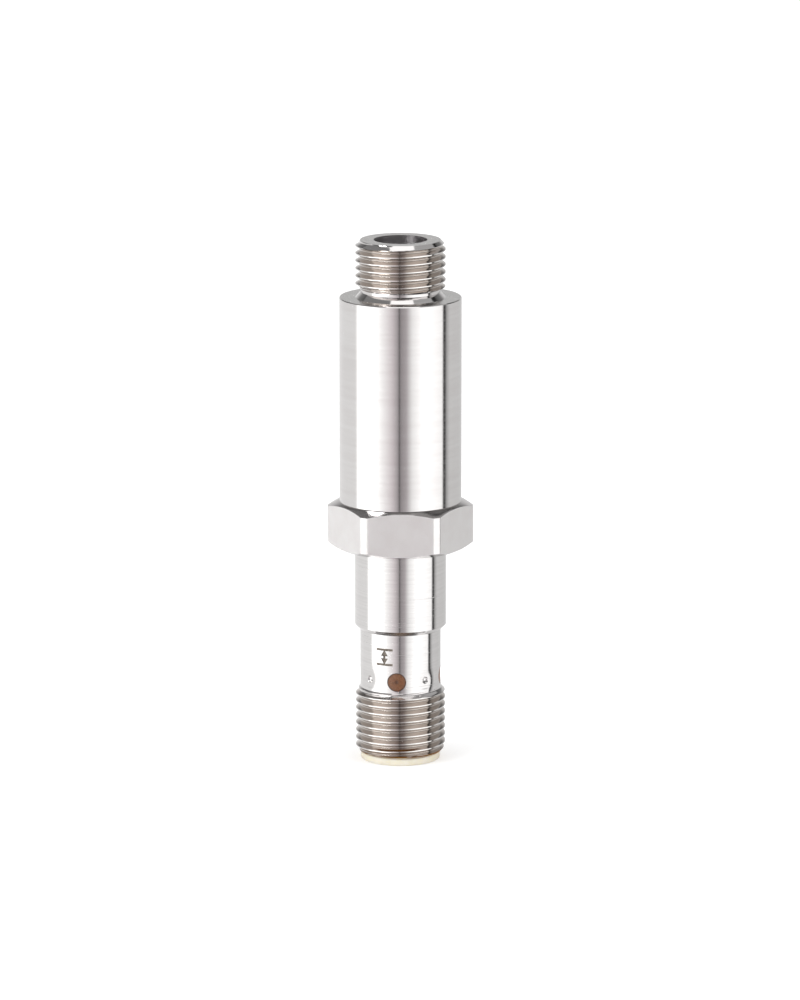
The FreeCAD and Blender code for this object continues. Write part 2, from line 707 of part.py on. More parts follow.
def make_light_ring():
    """Clear amber ring whose round bosses fill the sleeve's windows."""
    body = turned_body("light_ring", [
        (LIGHT_RING_BORE_RADIUS, CARRIER_TOP),
        (LIGHT_RING_RADIUS, CARRIER_TOP),
        (LIGHT_RING_RADIUS, LIGHT_RING_TOP),
        (LIGHT_RING_BORE_RADIUS, LIGHT_RING_TOP),
    ])
    boss = new_sketch(body, "XZ_Plane", "boss_outline",
                      away=f"({LIGHT_RING_BORE_RADIUS} + {LIGHT_RING_RADIUS}) / 2", turn="window_turn")
    draw_circle(boss, "window_diameter / 2 - window_clearance", along=WINDOW_HEIGHT)
    first_boss = pad(body, boss, "boss", WINDOW_TUBE_RADIUS)
    repeat_round(body, first_boss, "bosses", "window_count")
    faced = f"({WINDOW_TUBE_RADIUS} - window_sink)"
    beyond = f"2 * {WINDOW_TUBE_RADIUS} + {LIGHT_RING_RADIUS}"
    turned(body, "Groove", "boss_faces", [
        (faced, CARRIER_TOP),
        (beyond, CARRIER_TOP),
        (beyond, LIGHT_RING_TOP),
        (faced, LIGHT_RING_TOP),
    ])
    return body


def make_connector_sleeve():
    """Plug thread, window tube with four windows and four punched stakes, and a spigot for the neck."""
    body = turned_body("connector_sleeve", [
        (SLEEVE_BORE_RADIUS, SLEEVE_BOTTOM),
        (f"{PLUG_THREAD_RADIUS} - plug_thread_lead", SLEEVE_BOTTOM),
        (PLUG_THREAD_RADIUS, f"{SLEEVE_BOTTOM} + plug_thread_lead"),
        (PLUG_THREAD_RADIUS, PLUG_THREAD_TOP),
        (WINDOW_TUBE_RADIUS, WINDOW_TUBE_BOTTOM),
        (WINDOW_TUBE_RADIUS, f"{SLEEVE_TOP} - sleeve_top_edge"),
        (f"{WINDOW_TUBE_RADIUS} - sleeve_top_edge", SLEEVE_TOP),
        (SLEEVE_BORE_RADIUS, SLEEVE_TOP),
    ])
    window = new_sketch(body, "XZ_Plane", "window_outline", turn="window_turn")
    draw_circle(window, "window_diameter / 2", along=WINDOW_HEIGHT)
    first_window = cut(body, window, "window", PLUG_THREAD_RADIUS)
    repeat_round(body, first_window, "windows", "window_count")
    stake = body.newObject("PartDesign::SubtractiveSphere", "stake")
    distance = f"({WINDOW_TUBE_RADIUS} - stake_depth + stake_ball_diameter / 2)"
    attach(stake, body, "XZ_Plane", away=distance, turn=STAKE_TURN)
    bind(stake, "AttachmentOffset.Base.y", WINDOW_HEIGHT)
    bind(stake, "Radius", "stake_ball_diameter / 2")
    repeat_round(body, stake, "stakes", "window_count")
    return body


def make_contact_carrier():
    """Moulded insert: rim under the sleeve, open socket with a coding key and a floor with the contacts."""
    seal_groove_top = f"({CARRIER_TOP} - carrier_seal_drop)"
    seal_groove_bottom = f"({seal_groove_top} - carrier_seal_section - seal_room)"
    seal_groove_floor = f"{SLEEVE_BORE_RADIUS} - carrier_seal_section"
    body = turned_body("contact_carrier", [
        (f"{SOCKET_RADIUS} + socket_mouth_chamfer", "0"),
        (f"{RIM_RADIUS} - rim_edge", "0"),
        (RIM_RADIUS, "rim_edge"),
        (RIM_RADIUS, "rim_height"),
        (CARRIER_RADIUS, "rim_height"),
        (CARRIER_RADIUS, seal_groove_bottom),
        (seal_groove_floor, seal_groove_bottom),
        (seal_groove_floor, seal_groove_top),
        (CARRIER_RADIUS, seal_groove_top),
        (CARRIER_RADIUS, CARRIER_TOP),
        ("0", CARRIER_TOP),
        ("0", SOCKET_FLOOR),
        (SOCKET_RADIUS, SOCKET_FLOOR),
        (SOCKET_RADIUS, "socket_mouth_chamfer"),
    ])
    key = new_sketch(body, "XZ_Plane", "key_outline",
                     away=f"({SOCKET_RADIUS} - key_depth)", turn="window_turn")
    draw_box(key, "0 - key_width / 2", "key_width / 2", "key_set_back", SOCKET_FLOOR)
    pad(body, key, "key", "key_depth + carrier_wall / 2")
    drill_ring(body, "contact_hole", "contact_diameter / 2 + fit_clearance", CONTACT_CIRCLE_RADIUS,
               CONTACT_TURN, SOCKET_FLOOR, "carrier_base_thickness", "contact_count")
    return body


def make_contact_pin(number):
    """Turned contact: rounded tip, collar on the carrier's floor and a thin tail to the board."""
    pin = "(contact_diameter / 2)"
    collar = "(contact_collar_diameter / 2)"
    tail = "(contact_tail_diameter / 2)"
    body = turned_body(f"contact_pin_{number + 1}", [
        ("0", "contact_set_back"),
        (f"{pin} - contact_tip_chamfer", "contact_set_back"),
        (pin, "contact_set_back + 2 * contact_tip_chamfer"),
        (pin, CARRIER_TOP),
        (collar, CARRIER_TOP),
        (collar, f"{CARRIER_TOP} + contact_collar_height"),
        (tail, f"{CARRIER_TOP} + contact_collar_height"),
        (tail, f"{LED_BOARD_TOP} + contact_tail_reach"),
        ("0", f"{LED_BOARD_TOP} + contact_tail_reach"),
    ])
    stand_on_circle(body, CONTACT_CIRCLE_RADIUS, f"({CONTACT_TURN} + 360 / contact_count * {number})")
    return body


def make_seals():
    """Round rings: nose face, barrel and contact carrier."""
    housing_seal_height = f"{HEX_TOP} + housing_seal_rise + housing_seal_section / 2"
    carrier_seal_height = (
        f"{CARRIER_TOP} - carrier_seal_drop - (carrier_seal_section + seal_room) / 2"
    )
    return [
        ring_seal("tube_seal", face_seal_radius(), "face_seal_section",
                  f"{END_WALL_INSIDE} - face_seal_section / 2"),
        ring_seal("housing_seal", f"{BARREL_BORE_RADIUS} - housing_seal_section / 2",
                  "housing_seal_section", housing_seal_height),
        ring_seal("carrier_seal", f"{SLEEVE_BORE_RADIUS} - carrier_seal_section / 2",
                  "carrier_seal_section", carrier_seal_height),
    ]


def make_parts():
    contact_count = round(value("contact_count"))
    lamp_count = round(value("window_count"))
    parts = [
        make_front_housing(),
        make_pressure_tube(),
        make_coil_bobbin(),
        make_winding("secondary_winding_rear", 0),
        make_winding("primary_winding", 1),
        make_winding("secondary_winding_front", 2),
        make_shield_sleeve(),
        make_front_shield_washer(),
        make_rear_shield_washer(),
        make_disc_spring(),
        make_coil_board(),
        make_rear_housing(),
        make_circuit_board(),
        make_chip("signal_chip", "signal_chip_width", "signal_chip_thickness", "chip_offset"),
        make_chip("driver_chip", "driver_chip_width", "driver_chip_thickness", "0 - chip_offset"),
        make_small_part("capacitor_1", "capacitor", "0 - small_part_spacing / 2", True),
        make_small_part("capacitor_2", "capacitor", "small_part_spacing / 2", True),
        make_small_part("resistor_1", "resistor", "0 - small_part_spacing / 2", False),
        make_small_part("resistor_2", "resistor", "small_part_spacing / 2", False),
        make_led_board(),
        make_light_ring(),
        make_connector_sleeve(),
        make_contact_carrier(),
    ]
    parts += [make_coil_pin(number) for number in range(4)]
    parts += [make_lamp(number) for number in range(lamp_count)]
    parts += [make_contact_pin(number) for number in range(contact_count)]
    parts += make_seals()
    return parts


def check_parts(parts):
    """Stop if a feature failed or a part isn't one valid solid."""
    for item in document.Objects:
        if "Invalid" in item.State or "Error" in item.State:
            raise RuntimeError(f"{item.Name} failed: {item.State}")
    for part in parts:
        if part.Shape.isNull() or not part.Shape.isValid():
            raise RuntimeError(f"{part.Label} has no valid shape")
        if len(part.Shape.Solids) != 1:
            raise RuntimeError(f"{part.Label} has {len(part.Shape.Solids)} solids")


all_parts = make_parts()
document.recompute()
check_parts(all_parts)
os.makedirs("parts", exist_ok=True)
for part in all_parts:
    part.Shape.exportStep(f"parts/{part.Label}.step")
print(f"{len(all_parts)} parts written")
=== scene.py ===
import json
import math

import bmesh
import bpy
from mathutils import Matrix, Vector


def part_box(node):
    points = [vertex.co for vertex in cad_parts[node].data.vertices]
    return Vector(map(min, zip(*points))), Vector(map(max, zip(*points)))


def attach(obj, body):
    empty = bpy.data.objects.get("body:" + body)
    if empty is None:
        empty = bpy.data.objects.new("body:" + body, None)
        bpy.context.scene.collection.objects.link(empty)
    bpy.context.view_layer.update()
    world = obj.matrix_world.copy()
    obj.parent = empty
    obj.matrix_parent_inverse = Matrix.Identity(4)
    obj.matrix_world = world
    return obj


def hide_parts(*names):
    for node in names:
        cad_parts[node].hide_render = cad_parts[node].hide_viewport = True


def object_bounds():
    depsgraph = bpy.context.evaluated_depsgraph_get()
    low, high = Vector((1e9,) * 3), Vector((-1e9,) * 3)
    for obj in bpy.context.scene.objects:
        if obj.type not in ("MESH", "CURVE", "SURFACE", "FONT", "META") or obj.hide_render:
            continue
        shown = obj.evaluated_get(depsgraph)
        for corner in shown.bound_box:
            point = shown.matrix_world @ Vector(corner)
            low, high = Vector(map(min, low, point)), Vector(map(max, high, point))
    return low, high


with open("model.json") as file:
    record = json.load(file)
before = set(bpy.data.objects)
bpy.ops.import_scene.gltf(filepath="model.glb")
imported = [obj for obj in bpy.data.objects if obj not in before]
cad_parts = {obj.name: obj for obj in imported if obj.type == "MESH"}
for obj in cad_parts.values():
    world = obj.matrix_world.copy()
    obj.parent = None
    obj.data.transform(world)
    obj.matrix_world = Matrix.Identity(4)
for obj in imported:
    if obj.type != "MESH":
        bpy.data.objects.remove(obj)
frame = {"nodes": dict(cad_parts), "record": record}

# Screw-in position sensor, standing on its plug end.
# Lengths below are in millimetres, and points go into a mesh in metres.

MM = 0.001
cad_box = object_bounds()
record = frame["record"]
mounts = {mount["name"]: mount for mount in record["mounts"]}


def low(name):
    """Lowest height of a CAD node, in millimetres."""
    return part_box(name)[0].z / MM


def high(name):
    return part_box(name)[1].z / MM


def reach(name):
    """Furthest distance of a CAD node from the axis along X, in millimetres."""
    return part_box(name)[1].x / MM


# Sizes that the frame gives
NOSE_TOP = high("front_housing")
BARREL_BOTTOM = low("front_housing")
BARREL_RADIUS = reach("front_housing")
SHOULDER = mounts["nose_shoulder"]["pos_m"][2] / MM
NOSE_RADIUS = mounts["nose_thread"]["dims"]["r_mm"]
BORE_RADIUS = mounts["sensing_bore"]["dims"]["r_mm"]
BORE_FLOOR = NOSE_TOP - mounts["sensing_bore"]["dims"]["length_mm"]
PLUG_RADIUS = mounts["plug_thread"]["dims"]["r_mm"]
NECK_BOTTOM = low("rear_housing")
SPIGOT_TOP = high("rear_housing")
HEX_TOP = BARREL_BOTTOM
SLEEVE_BOTTOM = low("connector_sleeve")
SLEEVE_TOP = high("connector_sleeve")
TUBE_BOTTOM = low("pressure_tube")
TUBE_TOP = high("pressure_tube")
CARRIER_TOP = high("contact_carrier")
RIM_RADIUS = reach("contact_carrier")
LIGHT_RING_TOP = high("light_ring")
WINDOW_HEIGHT = (CARRIER_TOP + LIGHT_RING_TOP) / 2

# Sizes kept the same as in the solids
CLEARANCE = 0.02
NOSE_RELIEF_LENGTH = 1.4
NOSE_RELIEF_DEPTH = 0.7
NOSE_RELIEF_CONE = 0.75
NOSE_RUN_OUT = 0.3
NOSE_LEAD = 0.65
BARREL_WALL = 1.0
BARREL_EDGE = 0.1
BARREL_FOOT_EDGE = 0.03
BARREL_LEAD = 0.25
NECK_RADIUS = 6.0
NECK_CHAMFER = 0.6
HEX_HEIGHT = 6.25
HEX_HALF_WIDTH = 8.5
HEX_CORNER_RADIUS = reach("rear_housing")
HEX_FACE_INSET = 0.55
HEX_CHAMFER = math.radians(25)
HOUSING_BORE_RADIUS = 4.9
HOUSING_SPIGOT_WALL = 1.08
LEDGE_RISE = 0.45
SEAL_GROOVE_RISE = 1.5
SEAL_GROOVE_WIDTH = 0.8
SEAL_GROOVE_DEPTH = 0.58
FLANGE_THICKNESS = 1.2
FACE_GROOVE_DEPTH = 0.7
FACE_GROOVE_HALF_WIDTH = 0.45
TUBE_WALL = 0.5
TUBE_END_EDGE = 0.2
PLUG_RELIEF_DEPTH = 0.6
PLUG_RELIEF_HEIGHT = 0.6
PLUG_THREAD_LENGTH = 8.3
PLUG_LEAD = 0.7
SLEEVE_WALL = 0.5
SLEEVE_TOP_EDGE = 0.15
WINDOW_RADIUS = 1.25
WINDOW_CLEARANCE = 0.03
WINDOW_SINK = 0.05
LENS_RADIUS = WINDOW_RADIUS - WINDOW_CLEARANCE
WINDOW_COUNT = 4
WINDOW_TURN = math.radians(-5.5)
RING_THICKNESS = 1.18
MARK_TURN = math.radians(-23.6)
MARK_FOOT = 13.5
MARK_HEIGHT = 2.3
MARK_LINE = 0.3
MARK_DEPTH = 0.14
CARRIER_WALL = 0.48
CARRIER_BASE = 1.6
SOCKET_MOUTH_CHAMFER = 0.25
RIM_EDGE = 0.12
KEY_WIDTH = 1.0
KEY_DEPTH = 0.55
KEY_SET_BACK = 1.2
KEY_EDGE = 0.08
CARRIER_SEAL_SET_BACK = 0.35
CARRIER_SEAL_WIDTH = 0.7
CARRIER_SEAL_DEPTH = 0.5
RIM_BACK_EDGE = 0.03
CONTACT_RADIUS = 0.5
CONTACT_SET_BACK = 1.6
CONTACT_COLLAR_RADIUS = 0.75
CONTACT_COLLAR_HEIGHT = 0.5
CONTACT_TAIL_RADIUS = 0.35
CONTACT_TIP = 0.25
CHIP_CAP = 0.35
CAPACITOR_HALF_LENGTH = 1.0
RESISTOR_HALF_LENGTH = 0.8

WINDOW_TUBE_RADIUS = PLUG_RADIUS - PLUG_RELIEF_DEPTH
SLEEVE_BORE_RADIUS = WINDOW_TUBE_RADIUS - SLEEVE_WALL
CARRIER_RADIUS = SLEEVE_BORE_RADIUS - CLEARANCE
SOCKET_RADIUS = CARRIER_RADIUS - CARRIER_WALL
SOCKET_FLOOR = CARRIER_TOP - CARRIER_BASE
NOSE_RELIEF_RADIUS = NOSE_RADIUS - NOSE_RELIEF_DEPTH
NOSE_THREAD_BOTTOM = SHOULDER + NOSE_RELIEF_LENGTH
RELIEF_TOP = NOSE_THREAD_BOTTOM - NOSE_RUN_OUT
BARREL_BORE_RADIUS = BARREL_RADIUS - BARREL_WALL
SPIGOT_RADIUS = BARREL_BORE_RADIUS - CLEARANCE
SPIGOT_BORE_RADIUS = SPIGOT_RADIUS - HOUSING_SPIGOT_WALL
HEX_BOTTOM = HEX_TOP - HEX_HEIGHT
TUBE_RADIUS = BORE_RADIUS + TUBE_WALL
PLUG_THREAD_TOP = SLEEVE_BOTTOM + PLUG_THREAD_LENGTH
WINDOW_TUBE_BOTTOM = PLUG_THREAD_TOP + PLUG_RELIEF_HEIGHT

# Both threads are M12x1: 60 degree ridges, 1 mm apart, right-handed.
# The start is the height of a crest over +X, less whole turns.
PITCH = 1.0
CREST_HALF_WIDTH = PITCH / 16
ROOT_START = 3 * PITCH / 8
THREAD_DEPTH = 0.6
FLANK_SLOPE = 1 / math.tan(math.radians(30))
NOSE_CREST_START = 0.12
PLUG_CREST_START = 0.31
ROWS_PER_PITCH = 16

# Facets round a turned piece. 240 puts a facet edge on each edge of the hexagon.
STEPS = 240
SMALL_STEPS = 48
SHARP_ANGLE = math.radians(28)
MERGE_DISTANCE = 0.002 * MM
# Heights and radii closer than this count as the same
NEAR = 0.01


def hex_colour(code):
    """Turn an sRGB code such as #cfccc8 into linear red, green, blue and a full alpha."""
    channels = [int(code[place:place + 2], 16) / 255 for place in (1, 3, 5)]
    linear = [c / 12.92 if c <= 0.04045 else ((c + 0.055) / 1.055) ** 2.4 for c in channels]
    return (*linear, 1.0)


def node(tree, kind, inputs=None, **settings):
    """Add one node with its settings, and set or link its inputs."""
    made = tree.nodes.new(f"ShaderNode{kind}")
    for name, setting in settings.items():
        setattr(made, name, setting)
    for name, source in (inputs or {}).items():
        if isinstance(source, bpy.types.NodeSocket):
            tree.links.new(source, made.inputs[name])
        else:
            made.inputs[name].default_value = source
    return made


def new_material(name):
    material = bpy.data.materials.new(name)
    material.use_nodes = True
    material.node_tree.nodes.clear()
    return material, material.node_tree


def finish_material(material, colour, roughness, bump, metallic=0.0, others=None):
    """Join a colour, a roughness and a bump in one shader, with its other sockets by name."""
    tree = material.node_tree
    shader = node(tree, "BsdfPrincipled", {
        "Base Color": colour,
        "Roughness": roughness,
        "Metallic": metallic,
        "Normal": bump.outputs["Normal"],
        **(others or {}),
    })
    node(tree, "OutputMaterial", {"Surface": shader.outputs[0]})
    return material


def set_stops(ramp, stops):
    """Give a ramp its colours, each with its place from 0 to 1."""
    elements = ramp.color_ramp.elements
    while len(elements) < len(stops):
        elements.new(0.5)
    for element, (place, colour) in zip(elements, stops):
        element.position = place
        element.color = colour


def grain(tree, across, along, detail=2.0):
    """Noise whose grains measure so many millimetres across X and Y, and along Z."""
    place = node(tree, "TexCoord").outputs["Object"]
    scale = (1 / (across * MM), 1 / (across * MM), 1 / (along * MM))
    stretched = node(tree, "Mapping", {"Vector": place, "Scale": scale})
    return node(tree, "TexNoise", {
        "Vector": stretched.outputs["Vector"],
        "Scale": 1.0,
        "Detail": detail,
        "Roughness": 0.6,
    }).outputs["Fac"]


def axis_distance(tree):
    place = node(tree, "TexCoord").outputs["Object"]
    flat = node(tree, "VectorMath", {0: place, 1: (1.0, 1.0, 0.0)}, operation="MULTIPLY")
    return node(tree, "VectorMath", {0: flat.outputs["Vector"]}, operation="LENGTH").outputs["Value"]


def between(tree, source, lowest, highest, start=0.3, stop=0.7):
    """Spread a value that runs from start to stop, as most of a noise does, over a range."""
    return node(tree, "MapRange", {
        "Value": source,
        "From Min": start,
        "From Max": stop,
        "To Min": lowest,
        "To Max": highest,
    }).outputs["Result"]


def blend_colours(tree, source, first, second):
    """Blend two colours over the middle of a noise, where most of its values lie."""
    ramp = node(tree, "ValToRGB", {"Fac": source})
    set_stops(ramp, [(0.35, hex_colour(first)), (0.65, hex_colour(second))])
    return ramp.outputs["Color"]


def raised(tree, height, depth, under=None):
    """Bump whose full height is so many millimetres, over another bump if one is given."""
    inputs = {"Height": height, "Distance": depth * MM, "Strength": 1.0}
    if under:
        inputs["Normal"] = under.outputs["Normal"]
    return node(tree, "Bump", inputs)


def drawn_out(tree, amount):
    """Sockets that draw reflections out across marks which run round the turned axis."""
    quarter_turn = 0.25
    return {
        "Anisotropic": amount,
        "Anisotropic Rotation": quarter_turn,
        "Tangent": node(tree, "Tangent", direction_type="RADIAL", axis="Z").outputs["Tangent"],
    }


def one_grain(name, grains, colours, roughness, relief, metallic=0.0, drawn=0.0, others=None):
    """Material in which one grain steers colour, roughness and a bump of so many millimetres."""
    material, tree = new_material(name)
    marks = grain(tree, *grains)
    return finish_material(
        material,
        colour=blend_colours(tree, marks, *colours),
        roughness=between(tree, marks, *roughness),
        bump=raised(tree, marks, relief),
        metallic=metallic,
        others=drawn_out(tree, drawn) if drawn else others,
    )


def turned_stainless():
    """Stainless steel off a fine lathe cut, whose rings draw the light out along the axis.

    Real rings are about 0.05 mm apart, too fine to show, so they are drawn 0.16 mm apart.
    """
    material, tree = new_material("turned_stainless_steel")
    rings = grain(tree, across=9.0, along=0.16)
    wide_rings = grain(tree, across=14.0, along=0.9, detail=3.0)
    return finish_material(
        material,
        colour=blend_colours(tree, wide_rings, "#d2cfce", "#d7d5d4"),
        roughness=between(tree, rings, 0.11, 0.19),
        bump=raised(tree, rings, 0.0006, under=raised(tree, wide_rings, 0.0008)),
        metallic=1.0,
        others=drawn_out(tree, 0.75),
    )


def neck_stainless():
    """Stainless steel off a coarser cut: a few stray rings catch the light part of the way round."""
    material, tree = new_material("coarse_turned_stainless_steel")
    rings = grain(tree, across=12.0, along=0.2)
    stray = grain(tree, across=9.0, along=0.13, detail=0.0)
    scored = between(tree, stray, 0.0, 1.0, start=0.68, stop=0.8)
    return finish_material(
        material,
        colour=blend_colours(tree, rings, "#d3d1d0", "#d9d7d6"),
        roughness=between(tree, scored, 0.13, 0.34, start=0.0, stop=1.0),
        bump=raised(tree, rings, 0.0006, under=raised(tree, scored, 0.0012)),
        metallic=1.0,
        others=drawn_out(tree, 0.75),
    )


def thread_stainless():
    """Stainless steel on threads: smooth, darker and browner in the grooves as painted shade, paler on
    the crests as painted highlight.
    """
    material, tree = new_material("threaded_stainless_steel")
    rings = grain(tree, across=4.0, along=0.12)
    # Painted shade and highlight: below the first radius the grooves take the darker, browner colour, and
    # above the second the crests take the paler one
    browned = (NOSE_RADIUS - 0.1) * MM
    painted_highlight_radius = (NOSE_RADIUS - 0.02) * MM
    colour = node(tree, "Mix", {
        "Factor": between(tree, axis_distance(tree), 0.0, 1.0, browned, painted_highlight_radius),
        "A": blend_colours(tree, rings, "#b9b1ab", "#beb7b1"),
        "B": hex_colour("#dedbd9"),
    }, data_type="RGBA")
    return finish_material(
        material,
        colour=colour.outputs["Result"],
        roughness=between(tree, rings, 0.07, 0.14),
        bump=raised(tree, rings, 0.0006),
        metallic=1.0,
    )


def edge_stainless():
    """Stainless steel on chamfers and reliefs: the tool's last light cut, nearly a mirror."""
    return one_grain(
        "fine_cut_stainless_steel", grains=(5.0, 0.1), colours=("#d2cfce", "#dad7d6"),
        roughness=(0.06, 0.12), relief=0.0004, metallic=1.0,
    )


def faced_stainless():
    """Stainless steel on the shoulder and nose end: face-turned, with rings round the axis."""
    material, tree = new_material("faced_stainless_steel")
    ring_width = 0.12
    rings = node(tree, "TexNoise", {
        "W": axis_distance(tree),
        "Scale": 1 / (ring_width * MM),
        "Detail": 2.0,
    }, noise_dimensions="1D").outputs["Fac"]
    patches = grain(tree, across=1.6, along=1.6)
    return finish_material(
        material,
        colour=blend_colours(tree, patches, "#cbc9c7", "#d2d0ce"),
        roughness=between(tree, rings, 0.14, 0.24),
        bump=raised(tree, rings, 0.0006),
        metallic=1.0,
    )


def milled_stainless():
    """Stainless steel on the wrench flats: a dull, even cut that spreads the light wide."""
    material, tree = new_material("milled_stainless_steel")
    pits = grain(tree, across=0.22, along=0.3, detail=3.0)
    clouds = grain(tree, across=1.9, along=2.4, detail=3.0)
    return finish_material(
        material,
        # These colours are paler than the turned steel's: painted light on the wrench flats
        colour=blend_colours(tree, clouds, "#e4e1e0", "#e8e6e5"),
        roughness=between(tree, clouds, 0.45, 0.5),
        bump=raised(tree, pits, 0.005),
        metallic=1.0,
    )


def laser_marked_stainless():
    """Stainless steel that a marking laser has browned and dulled."""
    return one_grain(
        "laser_marked_stainless_steel", grains=(0.12, 0.12, 3.0), colours=("#6f675f", "#8d857c"),
        roughness=(0.45, 0.65), relief=0.006, metallic=0.8,
    )


def bored_stainless():
    """Stainless steel down the bore: reamed, with dull rings that draw the light out along the bore."""
    # Its colours are darker than the steel outside: painted shade down the bore and in the hidden hollows
    return one_grain(
        "bored_stainless_steel", grains=(6.0, 0.2), colours=("#a29ea0", "#b0acae"),
        roughness=(0.42, 0.5), relief=0.0015, metallic=1.0, drawn=0.9,
    )


def ivory_nylon():
    """Unpigmented moulded nylon: creamy, faintly greenish, a little see-through at its edges."""
    material, tree = new_material("ivory_nylon")
    clouds = grain(tree, across=1.3, along=0.8, detail=3.0)
    specks = grain(tree, across=0.12, along=0.12)
    return finish_material(
        material,
        colour=blend_colours(tree, clouds, "#f5edd6", "#faf4e4"),
        roughness=between(tree, specks, 0.34, 0.46),
        bump=raised(tree, specks, 0.002),
        others={
            "IOR": 1.53,
            "Subsurface Weight": 0.3,
            "Subsurface Radius": (0.9, 0.8, 0.5),
            "Subsurface Scale": 0.7 * MM,
        },
    )


def amber_polycarbonate():
    """Tinted polycarbonate: cloudy brown, darker at the gate mark in the middle, and darker towards the
    rim as painted shade from the window's edge.
    """
    material, tree = new_material("amber_polycarbonate")
    ring = node(tree, "Attribute", attribute_name="lens_ring").outputs["Fac"]
    tone = node(tree, "ValToRGB", {"Fac": ring})
    # The last stops, darker towards the rim, are painted shade where the window's edge meets the lens
    set_stops(tone, [(place, hex_colour(code)) for place, code in (
        (0.0, "#40271a"), (0.14, "#4f3221"), (0.26, "#6b452c"), (0.6, "#754c30"),
        (0.86, "#6e472e"), (0.95, "#513525"), (1.0, "#38251a"),
    )])
    clouds = grain(tree, across=0.5, along=0.45, detail=3.0)
    colour = node(tree, "Mix", {
        "Factor": between(tree, clouds, 0.0, 0.14),
        "A": tone.outputs["Color"],
        "B": hex_colour("#a0693f"),
    }, data_type="RGBA")
    return finish_material(
        material,
        colour=colour.outputs["Result"],
        roughness=between(tree, clouds, 0.2, 0.34),
        bump=raised(tree, clouds, 0.002),
        others={
            "IOR": 1.585,
            "Subsurface Weight": 0.25,
            "Subsurface Radius": (0.9, 0.4, 0.2),
            "Subsurface Scale": 0.6 * MM,
        },
    )


def gold_plate():
    """Thin hard gold over turned brass."""
    return one_grain(
        "gold_plated_brass", grains=(2.0, 0.1), colours=("#e3b65a", "#efc873"),
        roughness=(0.16, 0.28), relief=0.0008, metallic=1.0,
    )


def drawn_metal(name, first, second, roughness):
    """Drawn or punched metal: soft iron, spring steel or tinned wire, with faint marks round the axis."""
    return one_grain(
        name, grains=(3.0, 0.2), colours=(first, second),
        roughness=(roughness - 0.06, roughness + 0.06), relief=0.001, metallic=1.0,
    )


def wound_copper():
    """Enamelled copper wire, wound in layers: round turns 0.14 mm apart and reddish lacquer."""
    material, tree = new_material("enamelled_copper_wire")
    wire = 0.14
    # The texture's bands are 2 pi / 20 apart at a scale of 1
    band = 2 * math.pi / 20
    turns = node(tree, "TexWave", {
        "Vector": node(tree, "TexCoord").outputs["Object"],
        "Scale": band / (wire * MM),
        "Distortion": 0.6,
        "Detail": 1.0,
        "Detail Scale": 0.3,
    }, wave_type="BANDS", bands_direction="Z")
    layers = grain(tree, across=3.0, along=0.4)
    return finish_material(
        material,
        colour=blend_colours(tree, layers, "#9c4a22", "#c46b3a"),
        roughness=between(tree, layers, 0.28, 0.42),
        bump=raised(tree, turns.outputs["Fac"], 0.05),
        metallic=0.85,
        others={"Coat Weight": 0.4, "Coat Roughness": 0.15},
    )


def nitrile_rubber():
    """Black moulded nitrile: dull, with a powdery bloom."""
    return one_grain(
        "nitrile_rubber", grains=(0.4, 0.4, 4.0), colours=("#161616", "#262524"),
        roughness=(0.55, 0.75), relief=0.004, others={"IOR": 1.52},
    )


def moulded_black(name, first, second, roughness):
    """Filled moulding compound: near black with pale specks of filler."""
    return one_grain(
        name, grains=(0.15, 0.15, 4.0), colours=(first, second),
        roughness=(roughness - 0.08, roughness + 0.08), relief=0.006, others={"IOR": 1.55},
    )


def board_laminate():
    """Glass laminate under green solder mask: copper tracks show as paler, slightly raised lines."""
    material, tree = new_material("green_board_laminate")
    upright = node(tree, "Mapping", {
        "Vector": node(tree, "TexCoord").outputs["Object"],
        "Rotation": (math.radians(90), 0.0, 0.0),
    })
    cell = 0.9
    tracks = node(tree, "TexBrick", {
        "Vector": upright.outputs["Vector"],
        "Scale": 1 / (cell * MM),
        "Mortar Size": 0.09,
        "Mortar Smooth": 0.2,
        "Brick Width": 2.2,
        "Row Height": 0.7,
    })
    weave = grain(tree, across=0.3, along=0.3)
    colour = node(tree, "Mix", {
        "Factor": tracks.outputs["Fac"],
        "A": blend_colours(tree, weave, "#14502f", "#19603a"),
        "B": hex_colour("#2c8a50"),
    }, data_type="RGBA")
    return finish_material(
        material,
        colour=colour.outputs["Result"],
        roughness=between(tree, weave, 0.28, 0.4),
        bump=raised(tree, tracks.outputs["Fac"], 0.03),
        others={"IOR": 1.5, "Coat Weight": 0.3, "Coat Roughness": 0.1},
    )


def end_capped(name, body_code, speck_code, centre, half_length):
    """Fired ceramic chip with tinned ends, which start a cap's length in from each end."""
    material, tree = new_material(name)
    place = node(tree, "TexCoord").outputs["Object"]
    height = node(tree, "SeparateXYZ", {"Vector": place}).outputs["Z"]
    away = node(tree, "Math", {0: height, 1: centre * MM}, operation="SUBTRACT").outputs["Value"]
    distance = node(tree, "Math", {0: away}, operation="ABSOLUTE").outputs["Value"]
    limit = (half_length - CHIP_CAP) * MM
    tinned = node(tree, "Math", {0: distance, 1: limit}, operation="GREATER_THAN").outputs["Value"]
    specks = grain(tree, across=0.1, along=0.1)
    colour = node(tree, "Mix", {
        "Factor": tinned,
        "A": blend_colours(tree, specks, body_code, speck_code),
        "B": hex_colour("#c9c7c2"),
    }, data_type="RGBA")
    return finish_material(
        material,
        colour=colour.outputs["Result"],
        roughness=between(tree, specks, 0.3, 0.45),
        bump=raised(tree, specks, 0.003),
        metallic=tinned,
    )


def lamp_resin():
    """Lamp body: white moulding with a faint yellow cast where the phosphor lies."""
    return one_grain(
        "lamp_resin", grains=(0.3, 0.3, 3.0), colours=("#f0ead2", "#f6e28e"),
        roughness=(0.2, 0.35), relief=0.003, others={"IOR": 1.5},
    )


